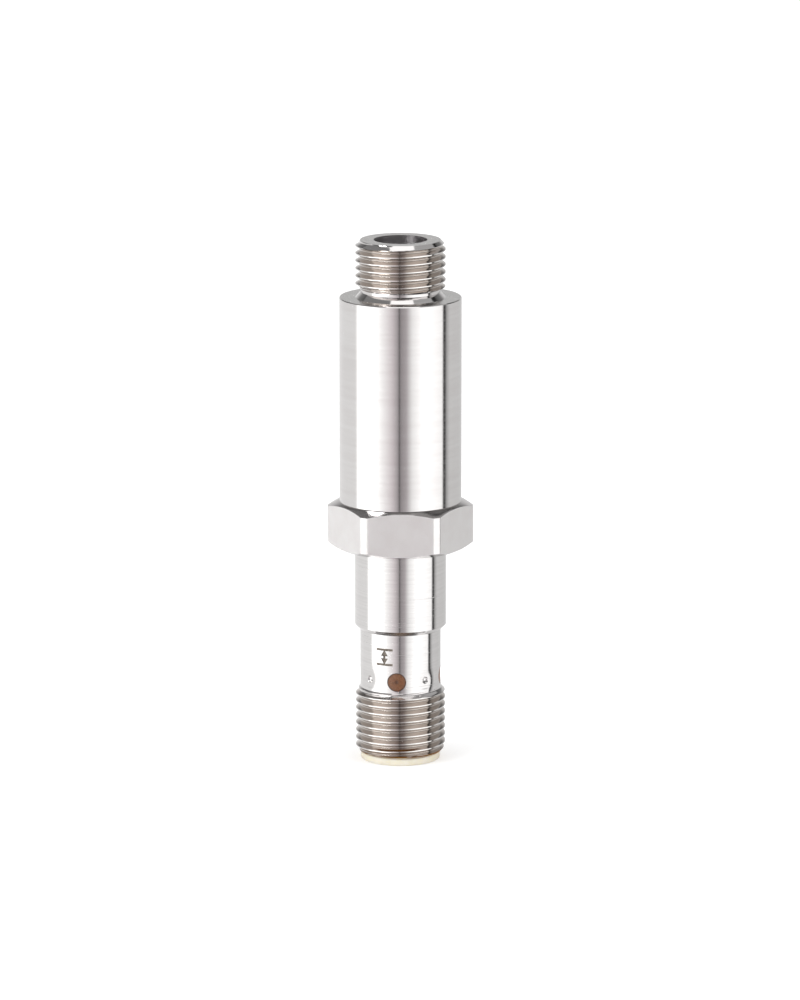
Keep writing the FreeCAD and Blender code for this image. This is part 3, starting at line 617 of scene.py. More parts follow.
def add_object(bm, name, materials=()):
    """Turn a bmesh into a mesh object of the scene."""
    mesh = bpy.data.meshes.new(name)
    bm.to_mesh(mesh)
    bm.free()
    for material in materials:
        mesh.materials.append(material)
    made = bpy.data.objects.new(name, mesh)
    bpy.context.scene.collection.objects.link(made)
    return made


def finish_piece(bm, name, finishes, replaced, pick=None):
    """Shade a finished bmesh, make it an object with its materials and hang it on the frame.

    finishes holds the materials by name, and pick gives the name of the one that a face takes.
    """
    bmesh.ops.recalc_face_normals(bm, faces=bm.faces)
    order = list(finishes)
    for face in bm.faces:
        face.smooth = True
        if pick:
            face.material_index = order.index(pick(face))
    for edge in bm.edges:
        edge.smooth = len(edge.link_faces) == 2 and edge.calc_face_angle() < SHARP_ANGLE
    piece = add_object(bm, name, finishes.values())
    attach(piece, "root")
    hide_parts(*replaced)


def lathe(outline, closed=False, steps=STEPS):
    """Spin an outline of (radius, height) points round the axis, starting over +X.

    A closed outline makes a ring: its last point is joined to its first.
    """
    bm = bmesh.new()
    points = [bm.verts.new((radius * MM, 0.0, height * MM)) for radius, height in outline]
    pairs = list(zip(points, points[1:]))
    if closed:
        pairs.append((points[-1], points[0]))
    lines = [bm.edges.new(pair) for pair in pairs]
    bmesh.ops.spin(
        bm, geom=points + lines, cent=(0, 0, 0), axis=(0, 0, 1), dvec=(0, 0, 0),
        angle=2 * math.pi, steps=steps, use_merge=True, use_duplicate=False,
    )
    bmesh.ops.remove_doubles(bm, verts=bm.verts, dist=MERGE_DISTANCE)
    return bm


def thread_depth(phase):
    """Depth of the thread below its crest at a fraction of a pitch from the crest's middle."""
    away = abs((phase + 0.5) % 1.0 - 0.5) * PITCH
    if away <= CREST_HALF_WIDTH:
        return 0.0
    flank_depth = (ROOT_START - CREST_HALF_WIDTH) * FLANK_SLOPE
    if away <= ROOT_START:
        return (away - CREST_HALF_WIDTH) * FLANK_SLOPE
    hollow = (PITCH / 2 - away) / (PITCH / 2 - ROOT_START)
    return THREAD_DEPTH - (THREAD_DEPTH - flank_depth) * hollow ** 2


def add_thread(bm, bottom, top, crest_start, major, envelope):
    """Add a threaded surface between two heights, no wider than the blank's radius at each height.

    A line of points one pitch longer than the thread at each end winds up one pitch in one turn,
    so that its end meets its own start a pitch higher. The ends are then pushed flat.
    """
    thread = bmesh.new()
    first_row = math.floor((bottom - 2 * PITCH) * ROWS_PER_PITCH)
    last_row = math.ceil((top + 2 * PITCH) * ROWS_PER_PITCH)
    offset = crest_start % (PITCH / ROWS_PER_PITCH)
    heights = [row * PITCH / ROWS_PER_PITCH + offset for row in range(first_row, last_row)]
    points = [thread.verts.new((major * MM, 0.0, height * MM)) for height in heights]
    lines = [thread.edges.new(pair) for pair in zip(points, points[1:])]
    bmesh.ops.spin(
        thread, geom=points + lines, cent=(0, 0, 0), axis=(0, 0, 1),
        dvec=(0, 0, PITCH * MM / STEPS), angle=2 * math.pi, steps=STEPS, use_merge=False,
    )
    bmesh.ops.remove_doubles(thread, verts=thread.verts, dist=MERGE_DISTANCE)
    for point in thread.verts:
        turn = math.atan2(point.co.y, point.co.x) / (2 * math.pi)
        height = point.co.z / MM
        phase = (height - crest_start) / PITCH - turn
        height = min(max(height, bottom), top)
        radius = min(major - thread_depth(phase), envelope(height))
        stretch = radius / from_axis(point.co)
        point.co.x *= stretch
        point.co.y *= stretch
        point.co.z = height * MM
    bmesh.ops.remove_doubles(thread, verts=thread.verts, dist=MERGE_DISTANCE)
    bmesh.ops.dissolve_degenerate(thread, edges=thread.edges, dist=MERGE_DISTANCE)
    add_mesh(bm, thread)
    bmesh.ops.remove_doubles(bm, verts=bm.verts, dist=MERGE_DISTANCE)


def add_mesh(bm, other):
    """Move everything in one bmesh into another."""
    carrier = bpy.data.meshes.new("carrier")
    other.to_mesh(carrier)
    other.free()
    bm.from_mesh(carrier)
    bpy.data.meshes.remove(carrier)


def from_axis(spot):
    """Distance of a place in a mesh from the axis, in millimetres."""
    return math.hypot(spot.x, spot.y) / MM


def face_middle(face):
    """Distance from the axis and height of a face's middle, in millimetres."""
    middle = face.calc_center_median()
    return from_axis(middle), middle.z / MM


def nose_envelope(height):
    """Radius of the nose before its thread is cut."""
    if height > NOSE_TOP - NOSE_LEAD:
        return NOSE_RADIUS - NOSE_LEAD + (NOSE_TOP - height)
    if height < NOSE_THREAD_BOTTOM:
        rise = (height - RELIEF_TOP) / NOSE_RUN_OUT
        return NOSE_RELIEF_RADIUS + max(rise, 0.0) * NOSE_RELIEF_DEPTH
    return NOSE_RADIUS


def make_front_housing(metals):
    """Nose with its thread and bore, relief, shoulder and barrel."""
    bm = lathe([
        (NOSE_RELIEF_RADIUS, RELIEF_TOP),
        (NOSE_RELIEF_RADIUS, SHOULDER + NOSE_RELIEF_CONE),
        (NOSE_RADIUS, SHOULDER),
        (BARREL_RADIUS - BARREL_EDGE, SHOULDER),
        (BARREL_RADIUS, SHOULDER - BARREL_EDGE),
        (BARREL_RADIUS, BARREL_BOTTOM + BARREL_FOOT_EDGE),
        (BARREL_RADIUS - BARREL_FOOT_EDGE, BARREL_BOTTOM),
        (BARREL_BORE_RADIUS + BARREL_LEAD, BARREL_BOTTOM),
        (BARREL_BORE_RADIUS, BARREL_BOTTOM + 2 * BARREL_LEAD),
        (BARREL_BORE_RADIUS, TUBE_TOP),
        (BORE_RADIUS, TUBE_TOP),
        (BORE_RADIUS, NOSE_TOP),
        (NOSE_RADIUS - NOSE_LEAD, NOSE_TOP),
    ])
    add_thread(bm, RELIEF_TOP, NOSE_TOP, NOSE_CREST_START, NOSE_RADIUS, nose_envelope)

    def pick(face):
        radius, height = face_middle(face)
        if radius < BORE_RADIUS + NEAR or height < BARREL_BOTTOM + NEAR:
            return "bored"
        if radius > BARREL_RADIUS - NEAR:
            return "turned"
        if NOSE_THREAD_BOTTOM < height < NOSE_TOP - NOSE_LEAD:
            return "threaded"
        if height > NOSE_TOP - NEAR or (abs(height - SHOULDER) < NEAR and radius > NOSE_RADIUS):
            return "faced"
        return "edge"

    finishes = {name: metals[name] for name in ("turned", "threaded", "faced", "bored", "edge")}
    finish_piece(bm, "threaded_front_housing", finishes, ["front_housing"], pick)


def angle_from_corner(turn):
    """Angle from the hexagon's nearest corner, for a direction given from +X, where a corner lies."""
    half_flat = math.radians(30)
    return abs((turn + half_flat) % (2 * half_flat) - half_flat)


def hexagon_radius(turn):
    """Radius of the hexagon bar, with its corners turned off."""
    from_flat = math.radians(30) - angle_from_corner(turn)
    return min(HEX_HALF_WIDTH / math.cos(from_flat), HEX_CORNER_RADIUS)


def make_rear_housing(metals):
    """Neck, hexagon with chamfered corners and the spigot that is hidden in the barrel."""
    face_radius = HEX_HALF_WIDTH - HEX_FACE_INSET
    groove_bottom = HEX_TOP + SEAL_GROOVE_RISE
    bm = lathe([
        (WINDOW_TUBE_RADIUS + CLEARANCE, NECK_BOTTOM),
        (NECK_RADIUS - NECK_CHAMFER, NECK_BOTTOM),
        (NECK_RADIUS, NECK_BOTTOM + NECK_CHAMFER),
        (NECK_RADIUS, HEX_BOTTOM),
        (face_radius, HEX_BOTTOM),
        (HEX_CORNER_RADIUS, HEX_BOTTOM + HEX_HEIGHT / 4),
        (HEX_CORNER_RADIUS, HEX_TOP - HEX_HEIGHT / 4),
        (face_radius, HEX_TOP),
        (SPIGOT_RADIUS, HEX_TOP),
        (SPIGOT_RADIUS, groove_bottom),
        (SPIGOT_RADIUS - SEAL_GROOVE_DEPTH, groove_bottom),
        (SPIGOT_RADIUS - SEAL_GROOVE_DEPTH, groove_bottom + SEAL_GROOVE_WIDTH),
        (SPIGOT_RADIUS, groove_bottom + SEAL_GROOVE_WIDTH),
        (SPIGOT_RADIUS, SPIGOT_TOP),
        (SPIGOT_BORE_RADIUS, SPIGOT_TOP),
        (SPIGOT_BORE_RADIUS, HEX_TOP + LEDGE_RISE),
        (HOUSING_BORE_RADIUS, HEX_TOP + LEDGE_RISE),
        (HOUSING_BORE_RADIUS, SLEEVE_TOP),
        (WINDOW_TUBE_RADIUS + CLEARANCE, SLEEVE_TOP),
    ], closed=True)
    # The bar's two rings of points go to the hexagon's sides, as high as its chamfer lets them
    for point in bm.verts:
        radius = from_axis(point.co)
        if radius < HEX_CORNER_RADIUS - NEAR:
            continue
        wanted = hexagon_radius(math.atan2(point.co.y, point.co.x))
        slope = (wanted - face_radius) * math.tan(HEX_CHAMFER)
        upper = point.co.z / MM > (HEX_BOTTOM + HEX_TOP) / 2
        point.co.x *= wanted / radius
        point.co.y *= wanted / radius
        point.co.z = (HEX_TOP - slope if upper else HEX_BOTTOM + slope) * MM

    def pick(face):
        radius, height = face_middle(face)
        if radius < SPIGOT_RADIUS and height > HEX_BOTTOM:
            return "bored"
        upright = abs(face.normal.z) < 0.1
        if radius > face_radius and upright:
            turn = math.atan2(face.normal.y, face.normal.x)
            off_flat = angle_from_corner(turn) < math.radians(29)
            at_corner = off_flat and radius > HEX_CORNER_RADIUS - 0.05
            return "turned" if at_corner else "milled"
        if abs(radius - NECK_RADIUS) < NEAR:
            return "neck"
        return "edge"

    bm.normal_update()
    finishes = {name: metals[name] for name in ("turned", "neck", "milled", "bored", "edge")}
    finish_piece(bm, "hexagon_and_neck", finishes, ["rear_housing"], pick)


def make_pressure_tube(metals):
    """Closed tube inside the coils. Only its bright inside shows, down the bore."""
    groove_middle = (BORE_RADIUS + SPIGOT_RADIUS) / 2
    flange_bottom = TUBE_TOP - FLANGE_THICKNESS
    bm = lathe([
        (0.0, TUBE_BOTTOM),
        (TUBE_RADIUS - TUBE_END_EDGE, TUBE_BOTTOM),
        (TUBE_RADIUS, TUBE_BOTTOM + TUBE_END_EDGE),
        (TUBE_RADIUS, flange_bottom),
        (SPIGOT_RADIUS, flange_bottom),
        (SPIGOT_RADIUS, TUBE_TOP),
        (groove_middle + FACE_GROOVE_HALF_WIDTH, TUBE_TOP),
        (groove_middle + FACE_GROOVE_HALF_WIDTH, TUBE_TOP - FACE_GROOVE_DEPTH),
        (groove_middle - FACE_GROOVE_HALF_WIDTH, TUBE_TOP - FACE_GROOVE_DEPTH),
        (groove_middle - FACE_GROOVE_HALF_WIDTH, TUBE_TOP),
        (BORE_RADIUS, TUBE_TOP),
        (BORE_RADIUS, BORE_FLOOR),
        (0.0, BORE_FLOOR),
    ])
    finish_piece(bm, "bored_pressure_tube", {"bored": metals["bored"]}, ["pressure_tube"])


def plug_envelope(height):
    """Radius of the plug end before its thread is cut."""
    if height < SLEEVE_BOTTOM + PLUG_LEAD:
        return PLUG_RADIUS - PLUG_LEAD + (height - SLEEVE_BOTTOM)
    if height > PLUG_THREAD_TOP:
        fall = (height - PLUG_THREAD_TOP) / PLUG_RELIEF_HEIGHT
        return PLUG_RADIUS - fall * PLUG_RELIEF_DEPTH
    return PLUG_RADIUS


def azimuth(turn):
    """Unit direction at an angle from the front, -Y, towards +X."""
    return Vector((math.sin(turn), -math.cos(turn), 0.0))


def window_turn(place):
    """Angle of a window from the front. Half places lie midway between two windows."""
    return WINDOW_TURN + place * 2 * math.pi / WINDOW_COUNT


def punch_stakes(bm):
    """Dent the window tube between its windows: a round pit in a wide shallow hollow."""
    hollow_depth = 0.17
    hollow_reach = 1.35
    fade = 0.5
    pit_depth = 0.28
    pit_ball = 0.5
    ball_distance = WINDOW_TUBE_RADIUS - hollow_depth - pit_depth + pit_ball
    for place in range(WINDOW_COUNT):
        way = azimuth(window_turn(place + 0.5))
        ball = way * ball_distance + Vector((0.0, 0.0, WINDOW_HEIGHT))
        target = way * WINDOW_TUBE_RADIUS + Vector((0.0, 0.0, WINDOW_HEIGHT))
        near = [
            edge for edge in bm.edges
            if all((point.co / MM - target).length < hollow_reach for point in edge.verts)
        ]
        bmesh.ops.subdivide_edges(bm, edges=near, cuts=2, use_grid_fill=True)
        for point in bm.verts:
            spot = point.co / MM
            radius = math.hypot(spot.x, spot.y)
            away = (spot - target).length
            if away > 3 * hollow_reach or radius < WINDOW_TUBE_RADIUS - NEAR:
                continue
            if not WINDOW_TUBE_BOTTOM < spot.z < NECK_BOTTOM:
                continue
            hollow = hollow_depth * math.exp(-((away / hollow_reach) ** 2))
            sunk = radius - hollow * min((spot.z - WINDOW_TUBE_BOTTOM) / fade, 1.0)
            along = Vector((spot.x, spot.y, 0.0)) / radius
            flat = Vector((0.0, 0.0, spot.z))
            gap = ball - flat
            inward = gap.dot(along)
            reach_left = pit_ball ** 2 - (gap.length_squared - inward ** 2)
            if reach_left > 0:
                sunk = min(sunk, inward - math.sqrt(reach_left))
            point.co = (along * sunk + flat) * MM


def window_cutter(turn):
    """Round cutter that goes out through the tube wall."""
    bm = bmesh.new()
    way = azimuth(turn)
    place = Matrix.Translation((way * WINDOW_TUBE_RADIUS + Vector((0, 0, WINDOW_HEIGHT))) * MM)
    facing = way.to_track_quat("Z", "Y").to_matrix().to_4x4()
    bmesh.ops.create_cone(
        bm, cap_ends=True, segments=64, radius1=WINDOW_RADIUS * MM, radius2=WINDOW_RADIUS * MM,
        depth=4 * SLEEVE_WALL * MM, matrix=place @ facing,
    )
    return bm


def cut_from(bm, cutter):
    """Take one closed mesh out of another."""
    blank = add_object(bm, "blank")
    tool = add_object(cutter, "cutter")
    difference = blank.modifiers.new("difference", "BOOLEAN")
    difference.operation = "DIFFERENCE"
    difference.solver = "EXACT"
    difference.object = tool
    bpy.context.view_layer.update()
    shaped = blank.evaluated_get(bpy.context.evaluated_depsgraph_get()).to_mesh()
    result = bmesh.new()
    result.from_mesh(shaped)
    for made in (blank, tool):
        mesh = made.data
        bpy.data.objects.remove(made)
        bpy.data.meshes.remove(mesh)
    return result


def mark_cutters():
    """Cutters for the engraved mark: an arrow with two heads between two bars, for travel."""
    height = MARK_HEIGHT - MARK_LINE
    shaft = height * 0.4
    head = 1.15
    head_rise = height * 0.22
    bar = 2.3
    thickness = 1.0

    def place(rise, deeper):
        """Place of a cutter. Those that cross differ in depth, so that no two floors lie in one plane."""
        outward = azimuth(MARK_TURN) * (WINDOW_TUBE_RADIUS - MARK_DEPTH - deeper + thickness / 2)
        outward.z = MARK_FOOT + MARK_HEIGHT / 2 + rise
        return Matrix.Scale(MM, 4) @ Matrix.Translation(outward) @ Matrix.Rotation(MARK_TURN, 4, "Z")

    blocks = [
        (MARK_LINE, shaft, place(0.0, 0.02)),
        (bar, MARK_LINE, place(height / 2, 0.0)),
        (bar, MARK_LINE, place(-height / 2, 0.0)),
    ]
    cutters = []
    for width, tall, spot in blocks:
        bm = bmesh.new()
        bmesh.ops.create_cube(bm, size=1.0, matrix=spot @ Matrix.Diagonal((width, thickness, tall, 1)))
        cutters.append(bm)
    for side in (1, -1):
        bm = bmesh.new()
        stood_up = Matrix.Rotation(math.radians(90), 4, "X") @ Matrix.Diagonal((1, side, side, 1))
        bmesh.ops.create_cone(
            bm, cap_ends=True, segments=3, radius1=head / 2, radius2=head / 2, depth=thickness,
            matrix=place(side * head_rise, 0.01) @ stood_up,
        )
        cutters.append(bm)
    return cutters


def make_connector_sleeve(metals):
    """Plug thread and window tube, with windows, stakes and an engraved mark."""
    row = 0.15
    count = round((NECK_BOTTOM - WINDOW_TUBE_BOTTOM) / row)
    tube = [
        (WINDOW_TUBE_RADIUS, WINDOW_TUBE_BOTTOM + (NECK_BOTTOM - WINDOW_TUBE_BOTTOM) * place / count)
        for place in range(count + 1)
    ]
    bm = lathe(tube + [
        (WINDOW_TUBE_RADIUS, SLEEVE_TOP - SLEEVE_TOP_EDGE),
        (WINDOW_TUBE_RADIUS - SLEEVE_TOP_EDGE, SLEEVE_TOP),
        (SLEEVE_BORE_RADIUS, SLEEVE_TOP),
        (SLEEVE_BORE_RADIUS, SLEEVE_BOTTOM),
        (PLUG_RADIUS - PLUG_LEAD, SLEEVE_BOTTOM),
    ])
    add_thread(bm, SLEEVE_BOTTOM, WINDOW_TUBE_BOTTOM, PLUG_CREST_START, PLUG_RADIUS, plug_envelope)
    punch_stakes(bm)
    bmesh.ops.recalc_face_normals(bm, faces=bm.faces)
    for place in range(WINDOW_COUNT):
        bm = cut_from(bm, window_cutter(window_turn(place)))
    for cutter in mark_cutters():
        bm = cut_from(bm, cutter)

    def pick(face):
        radius, height = face_middle(face)
        if radius < SLEEVE_BORE_RADIUS + NEAR:
            return "bored"
        if abs(radius - WINDOW_TUBE_RADIUS + MARK_DEPTH) < 0.4 * MARK_DEPTH and height > MARK_FOOT:
            return "marked"
        if height > WINDOW_TUBE_BOTTOM:
            return "neck"
        return "edge" if height > PLUG_THREAD_TOP else "threaded"

    finishes = {name: metals[name] for name in ("neck", "threaded", "bored", "marked", "edge")}
    finish_piece(bm, "plug_sleeve", finishes, ["connector_sleeve"], pick)


def make_light_ring(amber):
    """Amber ring with four round lenses that fill the windows, each with a gate mark in the middle."""
    bm = lathe([
        (CARRIER_RADIUS - RING_THICKNESS, CARRIER_TOP),
        (CARRIER_RADIUS, CARRIER_TOP),
        (CARRIER_RADIUS, LIGHT_RING_TOP),
        (CARRIER_RADIUS - RING_THICKNESS, LIGHT_RING_TOP),
    ], closed=True)
    ways = [azimuth(window_turn(place)) for place in range(WINDOW_COUNT)]
    surface = WINDOW_TUBE_RADIUS - WINDOW_SINK
    inside = CARRIER_RADIUS - RING_THICKNESS / 2
    gate_reach = 0.14
    gate_depth = 0.05
    shares = (0.0, 0.07, 0.14, 0.26, 0.4, 0.6, 0.8, 0.93, 1.0)
    outline = [(share * LENS_RADIUS, surface) for share in shares]
    for way in ways:
        lens = lathe(outline + [(LENS_RADIUS, inside), (0.0, inside)], steps=SMALL_STEPS)
        facing = way.to_track_quat("Z", "Y").to_matrix()
        for point in lens.verts:
            spot = facing @ point.co / MM
            if point.co.z / MM > inside + NEAR:
                sideways = spot.dot(Vector((way.y, -way.x, 0.0)))
                share = from_axis(point.co) / LENS_RADIUS
                sink = gate_depth * max(1 - share / gate_reach, 0.0)
                spot += way * (math.sqrt(surface ** 2 - sideways ** 2) - sink - surface)
            point.co = (spot + Vector((0.0, 0.0, WINDOW_HEIGHT))) * MM
        add_mesh(bm, lens)
    layer = bm.verts.layers.float.new("lens_ring")
    for point in bm.verts:
        point[layer] = 1.0
        outside = from_axis(point.co) > CARRIER_RADIUS + NEAR
        for way in ways:
            away = point.co / MM - Vector((0.0, 0.0, WINDOW_HEIGHT))
            if outside and away.dot(way) > 0:
                point[layer] = min(point[layer], (away - way * away.dot(way)).length / LENS_RADIUS)
    finish_piece(bm, "lens_ring", {"amber": amber}, ["light_ring"])


def make_contact_carrier(nylon):
    """Ivory insert with its rim, socket, coding key and contact floor."""
    seal_top = CARRIER_TOP - CARRIER_SEAL_SET_BACK
    seal_bottom = seal_top - CARRIER_SEAL_WIDTH
    seal_floor = SLEEVE_BORE_RADIUS - CARRIER_SEAL_DEPTH
    bm = lathe([
        (0.0, CARRIER_TOP),
        (CARRIER_RADIUS, CARRIER_TOP),
        (CARRIER_RADIUS, seal_top),
        (seal_floor, seal_top),
        (seal_floor, seal_bottom),
        (CARRIER_RADIUS, seal_bottom),
        (CARRIER_RADIUS, SLEEVE_BOTTOM),
        (RIM_RADIUS - RIM_BACK_EDGE, SLEEVE_BOTTOM),
        (RIM_RADIUS, SLEEVE_BOTTOM - RIM_BACK_EDGE),
        (RIM_RADIUS, RIM_EDGE),
        (RIM_RADIUS - 0.3 * RIM_EDGE, 0.3 * RIM_EDGE),
        (RIM_RADIUS - RIM_EDGE, 0.0),
        (SOCKET_RADIUS + SOCKET_MOUTH_CHAMFER, 0.0),
        (SOCKET_RADIUS, SOCKET_MOUTH_CHAMFER),
        (SOCKET_RADIUS, SOCKET_FLOOR),
        (0.0, SOCKET_FLOOR),
    ])
    key = bmesh.new()
    key_reach = KEY_DEPTH + CARRIER_WALL / 2
    key_length = SOCKET_FLOOR - KEY_SET_BACK
    middle = azimuth(WINDOW_TURN) * (SOCKET_RADIUS - KEY_DEPTH + key_reach / 2)
    middle.z = KEY_SET_BACK + key_length / 2
    place = Matrix.Scale(MM, 4) @ Matrix.Translation(middle) @ Matrix.Rotation(WINDOW_TURN, 4, "Z")
    bmesh.ops.create_cube(
        key, size=1.0, matrix=place @ Matrix.Diagonal((KEY_WIDTH, key_reach, key_length, 1)),
    )
    bmesh.ops.bevel(
        key, geom=key.edges, offset=KEY_EDGE * MM, segments=2, profile=0.5, affect="EDGES", material=-1,
    )
    add_mesh(bm, key)
    finish_piece(bm, "plug_insert", {"nylon": nylon}, ["contact_carrier"])


def make_contact(number, gold):
    """Turned contact with a rounded tip, a collar on the insert's floor and a thin tail."""
    name = f"contact_pin_{number}"
    collar_top = CARRIER_TOP + CONTACT_COLLAR_HEIGHT
    bm = lathe([
        (0.0, CONTACT_SET_BACK),
        (CONTACT_RADIUS - CONTACT_TIP, CONTACT_SET_BACK),
        (CONTACT_RADIUS - 0.4 * CONTACT_TIP, CONTACT_SET_BACK + 0.6 * CONTACT_TIP),
        (CONTACT_RADIUS, CONTACT_SET_BACK + 2 * CONTACT_TIP),
        (CONTACT_RADIUS, CARRIER_TOP),
        (CONTACT_COLLAR_RADIUS, CARRIER_TOP),
        (CONTACT_COLLAR_RADIUS, collar_top),
        (CONTACT_TAIL_RADIUS, collar_top),
        (CONTACT_TAIL_RADIUS, high(name)),
        (0.0, high(name)),
    ], steps=SMALL_STEPS)
    low_corner, high_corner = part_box(name)
    middle = (low_corner + high_corner) / 2
    bmesh.ops.translate(bm, vec=(middle.x, middle.y, 0.0), verts=bm.verts)
    finish_piece(bm, f"turned_contact_{number}", {"gold": gold}, [name])


def dress_cad_nodes(finishes):
    """Give each solid that keeps its own mesh the material of its slot."""
    for part in record["subparts"]:
        material = finishes.get(part["node"]) or finishes.get(part["material_slot"])
        if material is None:
            continue
        solid = frame["nodes"][part["node"]]
        solid.data.materials.clear()
        solid.data.materials.append(material)


def make_pieces():
    metals = {
        "turned": turned_stainless(),
        "neck": neck_stainless(),
        "threaded": thread_stainless(),
        "edge": edge_stainless(),
        "faced": faced_stainless(),
        "milled": milled_stainless(),
        "marked": laser_marked_stainless(),
        "bored": bored_stainless(),
    }
    gold = gold_plate()
    make_front_housing(metals)
    make_rear_housing(metals)
    make_pressure_tube(metals)
    make_connector_sleeve(metals)
    make_light_ring(amber_polycarbonate())
    make_contact_carrier(ivory_nylon())
    for number in range(1, 5):
        make_contact(number, gold)
    chip_centre = (low("capacitor_1") + high("capacitor_1")) / 2
    capacitor = end_capped(
        "barium_titanate_ceramic", "#8a6a48", "#9c7b56", chip_centre, CAPACITOR_HALF_LENGTH,
    )
    resistor = end_capped("glazed_alumina", "#1c1c1e", "#2b2b2e", chip_centre, RESISTOR_HALF_LENGTH)
    dress_cad_nodes({
        "seal_rubber": nitrile_rubber(),
        "bobbin_plastic": moulded_black("glass_filled_polyester", "#2a2a2c", "#3a3a3c", 0.5),
        "copper_winding": wound_copper(),
        "soft_iron": drawn_metal("nickel_plated_soft_iron", "#8f8b85", "#a19c95", 0.32),
        "spring_steel": drawn_metal("blued_spring_steel", "#5f5a58", "#7a7370", 0.3),
        "tinned_pin": drawn_metal("tinned_bronze", "#b9b8b4", "#cfcec9", 0.26),
        "board_laminate": board_laminate(),
        "chip_moulding": moulded_black("epoxy_moulding_compound", "#111112", "#232324", 0.42),
        "lamp_plastic": lamp_resin(),
        "capacitor_1": capacitor,
        "capacitor_2": capacitor,
        "resistor_1": resistor,
        "resistor_2": resistor,
    })


# Studio: distances in metres, and angles in degrees from the front towards +X

CAMERA_DISTANCE = 0.800
CAMERA_HEIGHT = 0.204
AIM_HEIGHT = 0.0347
AXIS_OFFSET = 0.00006
PIXEL_AT_AIM = 0.00013125
PHOTO_HEIGHT = 1000
SENSOR_HEIGHT = 36.0
TENT_RADIUS = 1.2
TENT_TOP = 0.85
TENT_BOTTOM = -1.5
ROOF_LEVEL = 0.27
GROUND_LEVEL = 1.4

# Brightness of the tent's wall by direction
WALL_LEVELS = [
    # Plain cloth behind and at the left
    (-180, 0.93), (-93, 1.0),
    # Left soft box, which fades towards the front
    (-86, 2.05), (-53, 2.0), (-37, 1.42), (-17, 0.93),
    # Dim gap where the camera looks in, with the black edge of the cloth beside it
    (-4, 0.45), (-2.6, 0.1), (-1.2, 0.1), (-0.2, 0.38), (11, 0.56),
    # Right soft box
    (22, 1.2), (45, 1.75), (86, 1.4),
    # Black flag
    (88, 0.04), (93, 0.05),
    # Plain cloth at the right
    (97, 0.5), (106, 0.8), (150, 0.72),
]
# The camera and its dark stand give the front gap a faint plum tint
GAP_TINT = (1.0, 0.93, 0.955)
GAP_EDGES = (-30, 21)
# Heights over which boxes, gap and flag give way to plain cloth, as shares of the wall above the table
BOX_TOPS = (0.12, 0.26)
PLAIN_CLOTH = 0.8
# How the wall darkens from the table's level to its top
WALL_FALL = [(0.0, 1.0), (0.08, 1.0), (0.34, 0.82), (0.6, 0.3), (1.0, 0.14)]

# Level cards in the tent: name, middle across X and Y, height, size along X and Y, and brightness
CARDS = [
    ("overhead_soft_box", (0.035, 0.1), TENT_TOP - 0.04, (0.5, 1.1), 1.5),
    ("overhead_flag", (0.52, 0.0), TENT_TOP - 0.03, (0.46, 1.9), 0.5),
    ("upper_left_box", (-0.8, -0.6), TENT_TOP - 0.03, (0.54, 0.6), 11.0),
    ("black_strip", (0.82, 0.1), TENT_TOP - 0.02, (0.16, 1.9), 0.02),
    ("dark_foot_cloth", (-0.25, -0.3), TENT_BOTTOM + 0.05, (2.0, 0.8), 0.2),
    ("pale_foot_cloth", (-0.25, 0.5), TENT_BOTTOM + 0.05, (2.0, 0.8), 0.4),
]
# Soft lamps for what is not metal: name, place, width and watts
LAMPS = [
    ("left_lamp", (-0.7, -0.5, 0.5), 0.7, 5.8),
    ("right_lamp", (0.7, -0.4, 0.5), 0.6, 3.4),
    ("top_lamp", (0.0, 0.1, 1.0), 0.6, 3.0),
]
FILL_LEVEL = 0.55
FLOOR_RADIUS = 6.0
FLOOR_GAP = 0.01 * MM
# Ring of the table that the sensor itself shades
SHADED_RADIUS = 9 * MM
SHADED_LEVEL = 0.34
SHADED_COLOUR = "#f2a850"


def aimed(spot, aim):
    """Place and turn of a camera or lamp that stands at a spot and looks at another."""
    return Matrix.Translation(spot) @ (aim - spot).to_track_quat("-Z", "Y").to_matrix().to_4x4()


def make_camera():
    """Camera of the photograph's view: about 12 degrees above the sensor's middle."""
    data = bpy.data.cameras.new("camera")
    camera = bpy.data.objects.new("camera", data)
    bpy.context.scene.collection.objects.link(camera)
    spot = Vector((-AXIS_OFFSET, -CAMERA_DISTANCE, CAMERA_HEIGHT))
    aim = Vector((-AXIS_OFFSET, 0.0, AIM_HEIGHT))
    camera.matrix_world = aimed(spot, aim)
    data.sensor_fit = "VERTICAL"
    data.sensor_height = SENSOR_HEIGHT
    focal_pixels = (aim - spot).length / PIXEL_AT_AIM
    data.lens = focal_pixels / PHOTO_HEIGHT * SENSOR_HEIGHT
    data.clip_start = 0.01
    data.clip_end = 50.0
    bpy.context.scene.camera = camera


def glow(name, strength, code="#ffffff"):
    material, tree = new_material(name)
    light = node(tree, "Emission", {"Color": hex_colour(code), "Strength": strength})
    node(tree, "OutputMaterial", {"Surface": light.outputs[0]})
    material.cycles.emission_sampling = "NONE"
    return material


def hang_cloth(bm, name, material):
    """Hang a cloth or card that only reflections show: it neither lights nor shades anything."""
    cloth = add_object(bm, name, [material])
    cloth.visible_camera = False
    cloth.visible_diffuse = False
    cloth.visible_shadow = False
    cloth.visible_transmission = False
    cloth.visible_volume_scatter = False


def level_disc(radius, height, segments):
    bm = bmesh.new()
    place = Matrix.Translation((0, 0, height))
    bmesh.ops.create_circle(bm, cap_ends=True, segments=segments, radius=radius, matrix=place)
    return bm


